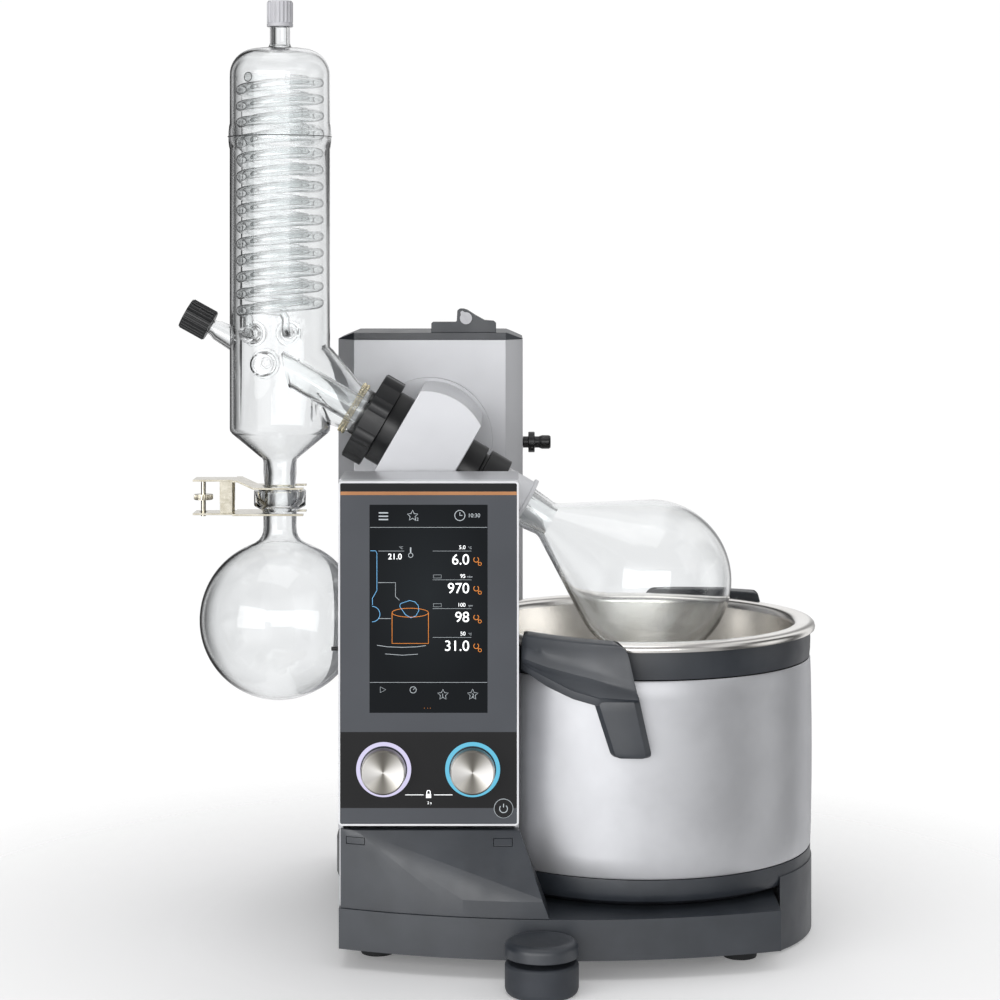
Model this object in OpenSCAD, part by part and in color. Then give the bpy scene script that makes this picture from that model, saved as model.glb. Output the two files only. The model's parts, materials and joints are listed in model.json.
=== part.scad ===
// Rotary evaporator with a vertical glass condenser, a motor lift, a heating bath and a touch panel.
// Millimetres, +Z up. The origin lies on the bench under the middle of the instrument, -Y is its front.

/* [Base] */
// Height of the platform's top face above the bench
base_top_z = 46; // [40:0.5:60]
// Height of the rubber feet under the platform
foot_gap = 15; // [8:0.5:20]
// Wall thickness of the moulded platform
base_wall = 4; // [2.5:0.5:6]
// Front edge of the platform at its foremost point
base_front_y = -168; // [-180:1:-160]
// Radius of the curved front fascia
base_front_r = 475; // [350:5:700]
// X of the foremost point of the curved fascia
base_apex_x = 57.4; // [30:0.5:80]
// Right end of the platform
base_right_x = 218.4; // [200:0.5:219]
// Left end of the platform at the front
base_left_x = -120.3; // [-135:0.5:-110]
// X of the levelling foot
level_foot_x = 34.4; // [10:0.5:60]
// Y of the levelling foot
level_foot_y = -197; // [-205:0.5:-196]
// Diameter of the levelling foot
level_foot_d = 55; // [40:1:56]
// Height of the levelling foot
level_foot_h = 39.5; // [35:0.5:44]

/* [Console] */
// Width of the console housing and of the control panel
console_w = 138.2; // [120:0.5:150]
// Height of the console's top face
console_top_z = 374; // [340:1:376]
// Front face of the control panel
console_front_y = -140; // [-146:0.5:-136]
// Rear face of the console housing
console_back_y = -54; // [-70:0.5:-52]
// Wall thickness of the console housing
console_wall = 3; // [2:0.5:5]
// Underside of the control panel
panel_bottom_z = 110.5; // [100:0.5:130]
// Thickness of the control panel
panel_t = 14; // [10:0.5:20]
// Width of the light border round the panel
panel_border = 1.6; // [1:0.2:4]
// Width of the display glass
display_w = 90.2; // [70:0.5:110]
// Height of the display glass
display_h = 159; // [120:0.5:165]
// Height of the display's upper edge
display_top_z = 356; // [340:0.5:360]
// Height of the two rotary knobs' centres
knob_z = 153.6; // [140:0.5:170]
// Distance between the two rotary knobs
knob_pitch = 68; // [60:0.5:76]
// Diameter of a rotary knob
knob_d = 34; // [24:0.5:40]
// How far a rotary knob stands out of the panel
knob_h = 13; // [8:0.5:20]
// Outer diameter of the light ring round a knob
ring_d = 42; // [38:0.5:48]
// Diameter of the power button
power_d = 14; // [8:0.5:18]

/* [Lift column] */
// X of the column, the tilt pivot and the drive head
column_x = -57; // [-60:0.5:-50]
// Width of the column shell
tower_w = 160.4; // [150:0.5:162]
// Front face of the column shell
tower_front_y = 108; // [104:0.5:112]
// Rear face of the column shell
tower_back_y = 224; // [210:0.5:240]
// Height of the column's top face with the lift down
tower_top_z = 479; // [470:1:500]
// Wall thickness of the column shell
tower_wall = 3; // [2:0.5:4]
// Width of each front chamfer of the column
tower_chamfer = 14.7; // [10:0.1:18]
// Travel of the lift
lift_travel = 155; // [80:1:160]
// Diameter of the two guide rods
rod_d = 12; // [8:0.5:16]
// Distance between the guide rods
rod_pitch = 84; // [76:1:96]
// Diameter of the lead screw
screw_d = 14; // [10:0.5:18]
// Y of the guide rods and of the lead screw
rod_y = 190; // [184:0.5:196]

/* [Drive head] */
// Height of the tilt pivot with the lift down
pivot_z = 386.8; // [384:0.2:390]
// Slope of the rotor axis below the horizontal, in degrees
rotor_tilt = 30; // [28:0.5:32]
// Radius of the round drive head, about the tilt pivot
head_r = 51; // [48:0.5:54]
// Length of the drive head along the rotor axis
head_len = 56.6; // [54:0.2:60]
// Front face of the drive head
head_front_y = -48; // [-50:0.5:-44]
// Wall thickness of the drive head
head_wall = 4; // [3:0.5:5]
// Radius of the pivot disc on the column's face
disc_r = 54; // [52:0.5:60]
// Diameter of the pivot shaft in the column
pivot_d = 40; // [30:1:44]
// Diameter of the hollow drive shaft
shaft_d = 38; // [36:0.5:40]
// Bore of the hollow drive shaft
shaft_bore = 28.4; // [28.2:0.1:30]
// Outer diameter of the rotor bearings
bearing_d = 56; // [52:0.5:58]
// Width of a rotor bearing
bearing_w = 10; // [8:0.5:12]
// Distance from the rotor axis to the drive motor's axis
motor_off = 54; // [52:0.5:58]
// Diameter of the drive motor
motor_d = 36; // [28:0.5:38]
// Outer diameter of the union nut
nut_d = 79; // [72:0.5:84]
// Width of the union nut
nut_w = 18; // [14:0.5:19]

/* [Glassware] */
// Wall thickness of the glass
glass_wall = 2.2; // [1.5:0.1:3]
// X of the condenser's upright axis
condenser_x = -177; // [-185:0.5:-172]
// Outer diameter of the condenser jacket
jacket_d = 82; // [76:0.5:84]
// Height of the condenser's shoulder
jacket_top_z = 694; // [660:1:720]
// Height where the jacket's lower cone begins
jacket_low_z = 401.5; // [396:0.5:406]
// Outer diameter of the condenser's lower neck
drain_d = 27; // [24:0.5:28]
// Diameter of the outer cooling coil, over its tube
coil_outer_d = 72; // [66:0.5:73]
// Tube diameter of the outer cooling coil
coil_outer_tube = 9; // [6:0.5:10]
// Diameter of the inner cooling coil, over its tube
coil_inner_d = 49; // [44:0.5:52]
// Tube diameter of the inner cooling coil
coil_inner_tube = 7; // [5:0.5:8]
// Rise of each coil in one turn
coil_pitch = 13.8; // [11:0.2:16]
// Number of turns of each coil
coil_turns = 14; // [6:1:15]
// Height of the coils' lowest turn
coil_low_z = 500; // [490:1:510]
// Outer diameter of the two round flasks
flask_d = 131; // [110:1:135]
// Distance from the tilt pivot to the evaporating flask's centre
flask_reach = 213; // [208:0.5:214]
// Height of the receiving flask's centre
receiver_z = 248; // [240:0.5:256]
// Height of the ball joint's centre
ball_z = 354; // [353:0.5:356]
// Diameter of the ball joint
ball_d = 35; // [32:0.5:36]
// Outer diameter of the hose nozzles
nozzle_d = 10; // [8:0.5:12]

/* [Bath] */
// X of the bath's upright axis
bath_x = 115.6; // [114:0.2:118]
// Inner radius of the steel vessel
bath_inner_r = 127; // [120:0.5:128]
// How far the rolled lip reaches past the metal shell
bath_lip_over = 3.6; // [2.5:0.1:4]
// Height of the bath's rim
bath_top_z = 250; // [235:1:252]
// Height of the vessel's floor inside
bath_floor_z = 98; // [92:1:130]
// Room between the vessel's wall and the outside of the shell
bath_jacket_t = 14.4; // [12:0.2:15]
// Height of the lower edge of the satin shell
bath_shell_z = 69.3; // [62:0.1:76]
// Height of the upper edge of the satin shell
bath_band_z = 221.5; // [210:0.5:225]
// Reach of the handle grips past the lip
handle_reach = 20; // [15:0.5:22]
// Height of the lower end of the handle's leg
handle_foot_z = 165; // [150:1:190]

/* [Clearances] */
// Running clearance on the radius of a shaft in its hole
run_gap = 0.05; // [0.02:0.01:0.08]
// Gap between faces that pass each other
slide_gap = 0.3; // [0.3:0.05:0.5]
// Gap between parts that are fixed together round a curve
seat_gap = 0.1; // [0.05:0.01:0.15]

/* [Hidden] */
$fn = 96;
eps = 0.01;

// Derived places of the platform and the console
console_x = base_left_x + console_w / 2;
console_right_x = base_left_x + console_w;
panel_back_y = console_front_y + panel_t;
base_back_y = tower_back_y + 1;
tower_left_x = column_x - tower_w / 2;
tower_bottom_z = base_top_z + 1;
bath_shell_r = bath_inner_r + bath_jacket_t;
bath_lip_r = bath_shell_r + bath_lip_over;
recess_r = bath_lip_r + 3;
recess_top_z = bath_top_z + 12;
bracket_z = 24;
bracket_t = 3.5;
stem_d = 8;
button_w = 14;
button_h = 5;
button_z = panel_bottom_z - 12;
wedge_top_z = panel_bottom_z - 4;
wedge_top_y = console_front_y + 3;
wedge_crease_h = 12.7;
wedge_flare = 23;
port_z = 240;
port_y = -96;
power_x = console_right_x - 11.8;
power_z = panel_bottom_z + 13.5;

// Derived places of the lift
carriage_z = 130;
carriage_h = 60;
mast_top_z = carriage_z + carriage_h + lift_travel + 13;
mast_y = rod_y + 16;
mast_t = 8;
foot_plate_h = 8;
pulley_h = 9;
belt_t = 1.8;
lift_motor_x = 52;
lift_motor_y = 140;
lift_motor_d = 42;
motor_corner = 6;
lift_pulley_r = 12;
lock_knob_z = pivot_z - 4.5;
lock_knob_y = 140;
lock_screw_d = 6;
tower_cap_h = 6;
block_x = column_x + 29;
block_y = tower_front_y + 14;
dial_x = block_x + 2;
dial_z = tower_top_z + 12.5;
dial_d = 10.4;

// Distances along the rotor axis, from the tilt pivot, with the flask on the positive side
nut_end = -(head_len / 2 + 12.4);
nut_start = nut_end - nut_w;
cover_end = head_len / 2 + 16;
ring_start = cover_end + 3.3;
ring_end = ring_start + 18.6;
clamp_end = ring_end + 26.7;
joint_start = clamp_end - 13;
joint_end = joint_start + 32;
joint_r1 = 14.5;
joint_r2 = 12.2;
tube_r = shaft_bore / 2 - seat_gap - 0.1;
glass_flange_r = 28;
glass_flange_a = nut_start + 4;
arm_r = 20;
belt_a = -5;
rotor_pulley_r = 26;
motor_pulley_r = 12;
spigot_r = 30;
boss_r = bearing_d / 2 + 5;

// Heights of the glassware
neck_top_z = jacket_top_z + 39.5;
shoulder_h = 21.5;
drain_z = jacket_low_z - 21.5;
cup_r = 21.2;
feed_z = 456.5;
feed_tilt = 61;
port_len = 59;
duct_r = 12;
fork_t = 1.5;
fork_top_z = ball_z + 1.8;
fork_low_z = ball_z - 19.5;
clip_pin_x = condenser_x - 43;
clip_pin_z = ball_z - 5.6;
clip_screw_x = condenser_x - 62.7;
clip_left_x = condenser_x - 70;
clip_right_x = condenser_x + 20.5;
clip_tail = 34;
tail_rise = 6;
ear_t = 1.5;

// Colours, as seen
light = "#D6D7D9";
slate = "#3E424B";
dark = "#2E2E30";
steel = "#B9BABC";
glass = "#DCE9EC";

// A rectangle about the origin with round corners
module round_rect(w, h, r) {
  square([w - 2 * r, h], center = true);
  square([w, h - 2 * r], center = true);
  for (x = [-1, 1], y = [-1, 1]) translate([x * (w / 2 - r), y * (h / 2 - r)]) circle(r = r);
}

// A tube with its lower end at the origin
module tube(r_out, r_in, h) {
  difference() {
    cylinder(r = r_out, h = h);
    translate([0, 0, -eps]) cylinder(r = r_in, h = h + 2 * eps);
  }
}

// Turns a shape drawn along +Z so that it runs to the back, along +Y
module to_back() {
  rotate([-90, 0, 0]) children();
}

// Places a shape drawn along +Z on the rotor axis, a millimetres from the tilt pivot
module on_axis(a = 0) {
  translate([column_x, 0, pivot_z]) rotate([0, 90 + rotor_tilt, 0]) translate([0, 0, a]) children();
}

// Places a shape on the condenser's upright axis
module on_condenser(z = 0) {
  translate([condenser_x, 0, z]) children();
}

module on_bath(z = 0) {
  translate([bath_x, 0, z]) children();
}

// Belt round two pulleys whose centres are a distance apart in X
module belt_loop(r1, r2, distance, t, h) difference() {
  linear_extrude(h) belt_outline(r1 + t, r2 + t, distance);
  translate([0, 0, -1]) linear_extrude(h + 2) belt_outline(r1, r2, distance);
}

module belt_outline(r1, r2, distance) hull() {
  circle(r = r1, $fn = 48);
  translate([distance, 0]) circle(r = r2, $fn = 48);
}

// Base: a moulded platform, hollow below, whose front is a shallow arc
module platform_plan(inset = 0) {
  intersection() {
    translate([base_apex_x, base_front_y + base_front_r]) circle(r = base_front_r - inset, $fn = 180);
    polygon([
      [base_left_x + inset, base_front_y - 5], [base_right_x - inset, base_front_y - 5],
      [base_right_x - inset, 120], [column_x + tower_w / 2 + 30, base_back_y - inset],
      [tower_left_x + inset, base_back_y - inset], [tower_left_x + inset, tower_front_y],
      [base_left_x + inset, 0]
    ]);
  }
}

module base_platform() color(slate) {
  top_t = 5;
  difference() {
    translate([0, 0, foot_gap]) linear_extrude(base_top_z - foot_gap) platform_plan();
    translate([0, 0, foot_gap - eps]) linear_extrude(base_top_z - foot_gap - top_t) platform_plan(base_wall);
    // slot for the levelling foot's bracket
    translate([level_foot_x, base_front_y, bracket_z + bracket_t / 2])
      cube([28.6, 40, bracket_t + 0.6], center = true);
    // seat of the mains inlet, and of the switch beside it
    translate([column_x, base_back_y, foot_gap + 14]) cube([30, 20, 22], center = true);
    translate([column_x + 34, base_back_y, foot_gap + 14]) cube([18.6, 20, 16], center = true);
    // hole for the lead screw's lower journal
    translate([column_x, rod_y, base_top_z - top_t - 1])
      cylinder(r = screw_d / 2 - 2 + run_gap, h = top_t + 2);
  }
  for (x = foot_places()) translate([x[0], x[1], foot_gap])
    tube(12, 2.5, base_top_z - foot_gap - top_t + eps);
}

function foot_places() = [
  [base_left_x + 28, -90], [base_right_x - 28, -100], [tower_left_x + 28, base_back_y - 26],
  [base_right_x - 45, 110]
];

module rubber_feet() color(dark) for (p = foot_places()) translate([p[0], p[1], 0]) {
  cylinder(r1 = 13, r2 = 15, h = foot_gap - 2);
  translate([0, 0, foot_gap - 2]) cylinder(r = 15, h = 2);
  cylinder(r = 2.4, h = foot_gap + 8);
}

module foot_bracket() color(steel) difference() {
  union() {
    translate([level_foot_x - 14, level_foot_y, bracket_z])
      cube([28, base_front_y - level_foot_y + 50, bracket_t]);
    translate([level_foot_x, level_foot_y, bracket_z]) cylinder(r = 14, h = bracket_t);
    translate([level_foot_x, base_front_y + 44, bracket_z + bracket_t - eps])
      cylinder(r = 6, h = base_top_z - 5 - bracket_z - bracket_t + eps);
  }
  translate([level_foot_x, level_foot_y, bracket_z - 1])
    cylinder(r = stem_d / 2 + run_gap, h = bracket_t + 2);
}

module foot_pad() color(dark) translate([level_foot_x, level_foot_y, 0]) difference() {
  rotate_extrude() polygon([
    [0, 0], [level_foot_d / 2 - 3, 0], [level_foot_d / 2 - 0.8, 2], [level_foot_d / 2, 5],
    [level_foot_d / 2, bracket_z - 2], [level_foot_d / 2 - 1.5, bracket_z - slide_gap],
    [0, bracket_z - slide_gap]
  ]);
  translate([0, 0, 8]) cylinder(r = stem_d / 2 + seat_gap + 0.2, h = bracket_z);
}

module foot_handwheel() color(dark) translate([level_foot_x, level_foot_y, 0]) {
  low = bracket_z + bracket_t + slide_gap;
  rotate_extrude() polygon([
    [0, low], [level_foot_d / 2 - 1, low], [level_foot_d / 2, low + 1], [level_foot_d / 2, level_foot_h - 3],
    [level_foot_d / 2 - 0.9, level_foot_h - 1], [level_foot_d / 2 - 3, level_foot_h], [0, level_foot_h]
  ]);
  translate([0, 0, 8.5]) cylinder(r = stem_d / 2, h = low - 8);
}

// Console: a shell open to the front, hollowed on the right where the bath stands
module bath_recess(extra = 0) {
  on_bath(base_top_z - 5)
    cylinder(r = recess_r + extra, h = recess_top_z - base_top_z + 5 + extra, $fn = 180);
}

module console_housing() color(light) {
  depth = console_back_y - panel_back_y - slide_gap;
  y0 = panel_back_y + slide_gap;
  difference() {
    translate([base_left_x, y0, base_top_z]) cube([console_w, depth, console_top_z - base_top_z]);
    difference() {
      translate([base_left_x + console_wall, y0 - 1, base_top_z + 4])
        cube([
          console_w - 2 * console_wall, depth - console_wall + 1,
          console_top_z - base_top_z - console_wall - 4
        ]);
      bath_recess(console_wall);
    }
    bath_recess();
    // socket for the side port's cover
    translate([base_left_x - 1, port_y - 15, port_z - 19]) cube([console_wall + 2, 30, 38]);
  }
  // guide posts that the control panel slides on
  for (x = [base_left_x + 14, base_left_x + 60]) translate([x, y0 + 6, console_top_z - 40]) {
    rotate([90, 0, 0]) cylinder(r = 4, h = 6 + panel_t - 6);
    translate([-4, -eps, -4]) cube([8, depth - 6 - console_wall + 2 * eps, 8]);
  }
}

// Sloped cover between the platform and the control panel
module wedge_plan(front_y) intersection() {
  platform_plan(1.5);
  translate([base_left_x, front_y]) square([console_w + wedge_flare, panel_back_y - 2 - front_y]);
}

module wedge_body() hull() {
  translate([0, 0, base_top_z + slide_gap]) linear_extrude(wedge_crease_h) wedge_plan(base_front_y);
  translate([0, 0, wedge_top_z - 1]) linear_extrude(1) wedge_plan(wedge_top_y);
}

module wedge_cover() color(slate) difference() {
  wedge_body();
  // the right end slopes out to the platform
  rotate([90, 0, 0]) linear_extrude(400, center = true) polygon([
    [console_right_x, wedge_top_z + 1], [console_right_x + wedge_flare, base_top_z - 1],
    [console_right_x + 60, base_top_z - 1], [console_right_x + 60, wedge_top_z + 1]
  ]);
  bath_recess();
  // hollow inside
  translate([base_left_x + 3, wedge_top_y + 6, base_top_z - 1])
    cube([console_w - 20, panel_back_y - wedge_top_y, wedge_top_z - base_top_z - 3]);
  // pockets of the two release buttons
  for (x = button_places()) translate([x, wedge_top_y - 10, button_z - button_h / 2 - 0.35])
    cube([button_w + 0.7, 40, button_h + 0.7]);
}

function button_places() = [base_left_x + 5.6, console_right_x - 19.6];

// Each button lies flush with the cover's face
module release_button(x) intersection() {
  wedge_body();
  translate([x + 0.35, wedge_top_y - 10, button_z - button_h / 2]) cube([button_w, 17, button_h]);
}

module release_button_left() color(dark) release_button(button_places()[0]);

module release_button_right() color(dark) release_button(button_places()[1]);

// Plate over the side port, hinged at its top, with a pull pin
module port_cover() color(dark) {
  translate([base_left_x + 0.4, port_y - 14.5, port_z - 18.5]) cube([1.8, 29, 37]);
  translate([base_left_x + 0.5, port_y, port_z - 1]) rotate([0, -90, 0]) cylinder(r = 1.6, h = 8.6);
}

// IEC style inlet in the rear wall, with its three blades
module power_inlet() color(dark) translate([column_x, base_back_y, foot_gap + 14]) {
  difference() {
    union() {
      translate([-14.8, -18, -10.8]) cube([29.6, 18, 21.6]);
      translate([-17, 0, -12.5]) cube([34, 2, 25]);
    }
    translate([-12, -15, -8]) cube([24, 20, 16]);
  }
  for (p = [[-7, -2], [0, 3], [7, -2]]) translate([p[0] - 1, -15.5, p[1] - 2]) cube([2, 12, 4]);
}

// Rocker switch beside the inlet
module main_switch() color(dark) translate([column_x + 34, base_back_y - 3, foot_gap + 14]) {
  rotate([0, 90, 0]) translate([0, 0, -9]) cylinder(r = 1.5, h = 18);
  translate([-8.5, -3, -6]) cube([17, 7, 12]);
}

// Lift: a fixed mast inside the column shell carries two guide rods and the lead screw
module lift_mast() color(steel) {
  plate_w = rod_pitch + 40;
  plate_back = mast_y + mast_t;
  difference() {
    union() {
      translate([column_x - plate_w / 2, mast_y, base_top_z])
        cube([plate_w, mast_t, mast_top_z - base_top_z]);
      translate([column_x - plate_w / 2, rod_y - 18, base_top_z])
        cube([plate_w, plate_back - rod_y + 18, foot_plate_h]);
      translate([column_x - plate_w / 2, rod_y - 14, mast_top_z - 10])
        cube([plate_w, plate_back - rod_y + 14, 10]);
    }
    for (x = [-1, 1]) translate([column_x + x * rod_pitch / 2, rod_y, base_top_z + 2])
      cylinder(r = rod_d / 2 + seat_gap / 2, h = mast_top_z);
    translate([column_x, rod_y, base_top_z - 1]) cylinder(r = screw_d / 2 - 2 + run_gap, h = mast_top_z);
  }
}

module guide_rods() color("#C9CBCE") for (x = [-1, 1])
  translate([column_x + x * rod_pitch / 2, rod_y, base_top_z + 2])
    cylinder(r = rod_d / 2, h = mast_top_z - base_top_z - 3);

module lead_screw() color("#9A9C9F") translate([column_x, rod_y, 0]) {
  low = base_top_z + foot_plate_h + slide_gap;
  translate([0, 0, base_top_z + 1]) cylinder(r = screw_d / 2 - 2, h = mast_top_z - base_top_z - 2);
  translate([0, 0, low]) cylinder(r = screw_d / 2, h = mast_top_z - 10 - slide_gap - low);
  translate([0, 0, low + 2]) cylinder(r = lift_pulley_r, h = pulley_h);
}

module lift_motor() color(dark) translate([column_x + lift_motor_x, lift_motor_y, base_top_z]) {
  low = foot_plate_h + slide_gap + 2 + pulley_h + 4;
  difference() {
    translate([0, 0, low]) linear_extrude(50) polygon(motor_plan());
    translate([0, 0, low - 1]) cylinder(r = 3 + run_gap, h = 16);
  }
  for (x = [-1, 1]) translate([x * (lift_motor_d / 2 - motor_corner - 3) - 3, -lift_motor_d / 2, 0])
    cube([6, 5, low]);
}

// Square motor body with its four corners cut off
function motor_plan() = let (h = lift_motor_d / 2, c = lift_motor_d / 2 - motor_corner) [
  [-c, -h], [c, -h], [h, -c], [h, c], [c, h], [-c, h], [-h, c], [-h, -c]
];

module lift_pulley() color(steel) translate([column_x + lift_motor_x, lift_motor_y, base_top_z]) {
  low = foot_plate_h + slide_gap + 2;
  translate([0, 0, low]) cylinder(r = lift_pulley_r, h = pulley_h);
  translate([0, 0, low]) cylinder(r = 3, h = pulley_h + 16);
}

module lift_belt() color(dark) {
  dx = lift_motor_x;
  dy = lift_motor_y - rod_y;
  translate([column_x, rod_y, base_top_z + foot_plate_h + slide_gap + 3]) rotate([0, 0, atan2(dy, dx)])
    belt_loop(lift_pulley_r + slide_gap, lift_pulley_r + slide_gap, norm([dx, dy]), belt_t, pulley_h - 2);
}

// Control panel, which pulls straight off its dock
module panel_plan(inset) {
  translate([console_x, (console_top_z + panel_bottom_z) / 2])
    round_rect(console_w - 2 * inset, console_top_z - panel_bottom_z - 2 * inset, 3 - inset);
}

module panel_slab(y, t, inset) {
  translate([0, y + t, 0]) rotate([90, 0, 0]) linear_extrude(t) panel_plan(inset);
}

function knob_places() = [for (side = [-1, 1]) [console_x - 0.3 + side * knob_pitch / 2, knob_z]];

module panel_holes(y, depth, knob_r, power_r) {
  for (p = knob_places()) translate([p[0], y, p[1]]) to_back() cylinder(r = knob_r, h = depth);
  translate([power_x, y, power_z]) to_back() cylinder(r = power_r, h = depth);
}

module panel_bezel() color("#EDEEF0") difference() {
  panel_slab(console_front_y, panel_t, 0);
  panel_slab(console_front_y - 1, 4 + 1, panel_border);
  panel_slab(console_front_y + 3.9, panel_t - 3.9 - 2.5, 2.5);
  // bushes for the dock's guide posts
  for (x = [base_left_x + 14, base_left_x + 60]) translate([x, panel_back_y - 4, console_top_z - 40])
    to_back() cylinder(r = 4 + run_gap, h = 6);
}

module panel_face() color(slate) difference() {
  panel_slab(console_front_y + 0.3, 3.6, panel_border + 0.05);
  translate([console_x, console_front_y - 1, display_top_z - display_h / 2])
    cube([display_w + 0.1, 6, display_h + 0.1], center = true);
  panel_holes(console_front_y - 1, 6, 3 + run_gap, power_d / 2 + 0.15);
  for (p = knob_places()) translate([p[0], console_front_y - 0.5, p[1]]) to_back()
    tube(ring_d / 2 + 0.05, ring_d / 2 - 3.1, 1.5);
}

module touch_display() color("#1B2126")
  translate([console_x - display_w / 2, console_front_y + 0.5, display_top_z - display_h])
    cube([display_w, 1.45, display_h]);

module light_rings() color("#BFE6F2") for (p = knob_places()) translate([p[0], console_front_y - 0.2, p[1]])
  to_back() tube(ring_d / 2, ring_d / 2 - 3, 1.2);

module knob(p) translate([p[0], console_front_y, p[1]]) rotate([90, 0, 0]) {
  translate([0, 0, -7.5]) cylinder(r = 3, h = 8);
  translate([0, 0, 0.2 - eps]) cylinder(r = knob_d / 2 - 1.5, h = 1.2);
  rotate_extrude() polygon([
    [0, 1.2], [knob_d / 2, 1.2], [knob_d / 2, knob_h - 1.2], [knob_d / 2 - 1.2, knob_h],
    [knob_d / 2 - 2.5, knob_h], [0, knob_h - 0.8]
  ]);
}

module knob_left() color(steel) knob(knob_places()[0]);

module knob_right() color(steel) knob(knob_places()[1]);

module power_button() color("#9A9DA2") translate([power_x, console_front_y - 1.1, power_z]) to_back() {
  cylinder(r = power_d / 2, h = 3);
  cylinder(r = 3, h = 6);
}

// Column shell: rides on the mast, with the head on its front face
function tower_outline(inset) = let (
  w = tower_w / 2 - inset, c = tower_chamfer, f = tower_front_y + inset, b = tower_back_y - inset
) [
  [-w + c, f], [w - c, f], [w - c * 0.44, f + 9.5], [w, f + 18],
  [w, b - 18], [w - 5, b - 6], [w - 18, b],
  [-w + 18, b], [-w + 5, b - 6], [-w, b - 18],
  [-w, f + 18], [-w + c * 0.44, f + 9.5]
];

module tower_shell() color(light) translate([column_x, 0, 0]) difference() {
  translate([0, 0, tower_bottom_z]) linear_extrude(tower_top_z - tower_cap_h - tower_bottom_z)
    polygon(tower_outline(0));
  translate([0, 0, tower_bottom_z - 1]) linear_extrude(tower_top_z - tower_cap_h - tower_bottom_z + 2)
    polygon(tower_outline(tower_wall));
  translate([0, tower_front_y - 1, pivot_z]) to_back() cylinder(r = pivot_d / 2 + 1, h = tower_wall + 2);
  translate([tower_w / 2 - tower_wall - 1, lock_knob_y, lock_knob_z]) rotate([0, 90, 0])
    cylinder(r = lock_screw_d / 2 + 0.5, h = tower_wall + 2);
}

module tower_cap() color(dark) translate([column_x, 0, tower_top_z - tower_cap_h]) difference() {
  union() {
    linear_extrude(tower_cap_h) polygon(tower_outline(0));
    translate([0, 0, -6]) linear_extrude(6 + eps) polygon(tower_outline(tower_wall + seat_gap));
  }
  translate([0, 0, -7]) linear_extrude(7) polygon(tower_outline(tower_wall + 4));
  // the two ends slope down
  for (s = [-1, 1]) scale([s, 1, 1]) translate([tower_w / 2 - 14, 0, tower_cap_h]) rotate([0, 22, 0])
    cube([40, 300, 20]);
}

// Carriage: bolted to the shell, it runs on the guide rods and holds the lead screw's nut
module lift_carriage() color(steel) difference() {
  front = tower_front_y + tower_wall;
  union() {
    translate([column_x - rod_pitch / 2 - 14, rod_y - 14, carriage_z])
      cube([rod_pitch + 28, 26, carriage_h]);
    translate([column_x - 22, front, carriage_z + 40]) cube([44, rod_y - 14 - front + eps, 20]);
    translate([column_x - 50, front, carriage_z + 10]) cube([100, 6, 50]);
  }
  for (x = [-1, 1]) translate([column_x + x * rod_pitch / 2, rod_y, carriage_z - 1])
    cylinder(r = rod_d / 2 + run_gap, h = carriage_h + 2);
  translate([column_x, rod_y, carriage_z - 1]) cylinder(r = screw_d / 2 + run_gap, h = carriage_h + 2);
}

// Bearing block of the tilt pivot, bolted behind the column's front wall
module tilt_bearing() color(steel) difference() {
  front = tower_front_y + tower_wall;
  union() {
    translate([column_x, front, pivot_z]) to_back() cylinder(r = pivot_d / 2 + 12, h = 50);
    translate([column_x - 45, front, pivot_z - 36]) cube([90, 7, 72]);
    translate([column_x, lock_knob_y - 10, lock_knob_z - 10])
      cube([tower_w / 2 - tower_wall - seat_gap, 20, 20]);
  }
  translate([column_x, front - 1, pivot_z]) to_back() cylinder(r = pivot_d / 2 + run_gap, h = 60);
  translate([column_x + pivot_d / 2 - 8, lock_knob_y, lock_knob_z]) rotate([0, 90, 0])
    cylinder(r = lock_screw_d / 2 + run_gap, h = 100);
}

module stop_block() color(dark) translate([block_x, block_y, tower_top_z]) difference() {
  translate([0, 10, 0]) rotate([90, 0, 0]) linear_extrude(20) polygon([
    [-28, 0], [28, 0], [28, 8], [26, 9.9], [18, 10.6], [10, 15], [3, 19.5], [0, 20.5],
    [-3.5, 20.5], [-5.5, 19], [-6, 10], [-7, 9], [-27, 9], [-28, 8]
  ]);
  translate([dial_x - block_x, -11, dial_z - tower_top_z]) to_back() cylinder(r = dial_d / 2 - 1.5, h = 9);
}

module stop_dial() color(steel) translate([dial_x, block_y - 10, dial_z]) to_back() {
  difference() {
    union() {
      translate([0, 0, -2.3]) cylinder(r = dial_d / 2, h = 2);
      // pointer
      translate([0, 0, -2]) rotate([0, 0, -34]) linear_extrude(1.5)
        polygon([[4.2, 0], [-4.2, 0], [-1, -dial_d / 2 - 2], [1, -dial_d / 2 - 2]]);
    }
    translate([0, 0, -3]) rotate([0, 0, -34]) cube([1.2, dial_d - 3, 3.2], center = true);
  }
  translate([0, 0, -0.4]) cylinder(r = dial_d / 2 - 1.5 - run_gap, h = 7);
}

module tilt_lock_knob() color(dark) translate([column_x, lock_knob_y, lock_knob_z]) rotate([0, 90, 0]) {
  side = tower_w / 2;
  translate([0, 0, pivot_d / 2 + 1]) cylinder(r = lock_screw_d / 2, h = side - pivot_d / 2 + 1);
  translate([0, 0, side + slide_gap]) cylinder(r = 5, h = 5);
  translate([0, 0, side + 5]) cylinder(r = 9, h = 5.5);
  translate([0, 0, side + 10]) rotate_extrude() polygon([
    [0, 0], [5, 0], [5, 4], [6, 7], [6, 13], [5, 14.5], [0, 14.5]
  ]);
}

// Drive head: a round housing about the pivot, cut flat at both ends of the rotor axis
module head_body(r, len, y0, y1) intersection() {
  translate([column_x, y0, pivot_z]) to_back() cylinder(r = r, h = y1 - y0, $fn = 160);
  on_axis(-len / 2) translate([-r - 5, y0 - 1, 0]) cube([2 * r + 10, y1 - y0 + 2, len]);
}

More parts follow.
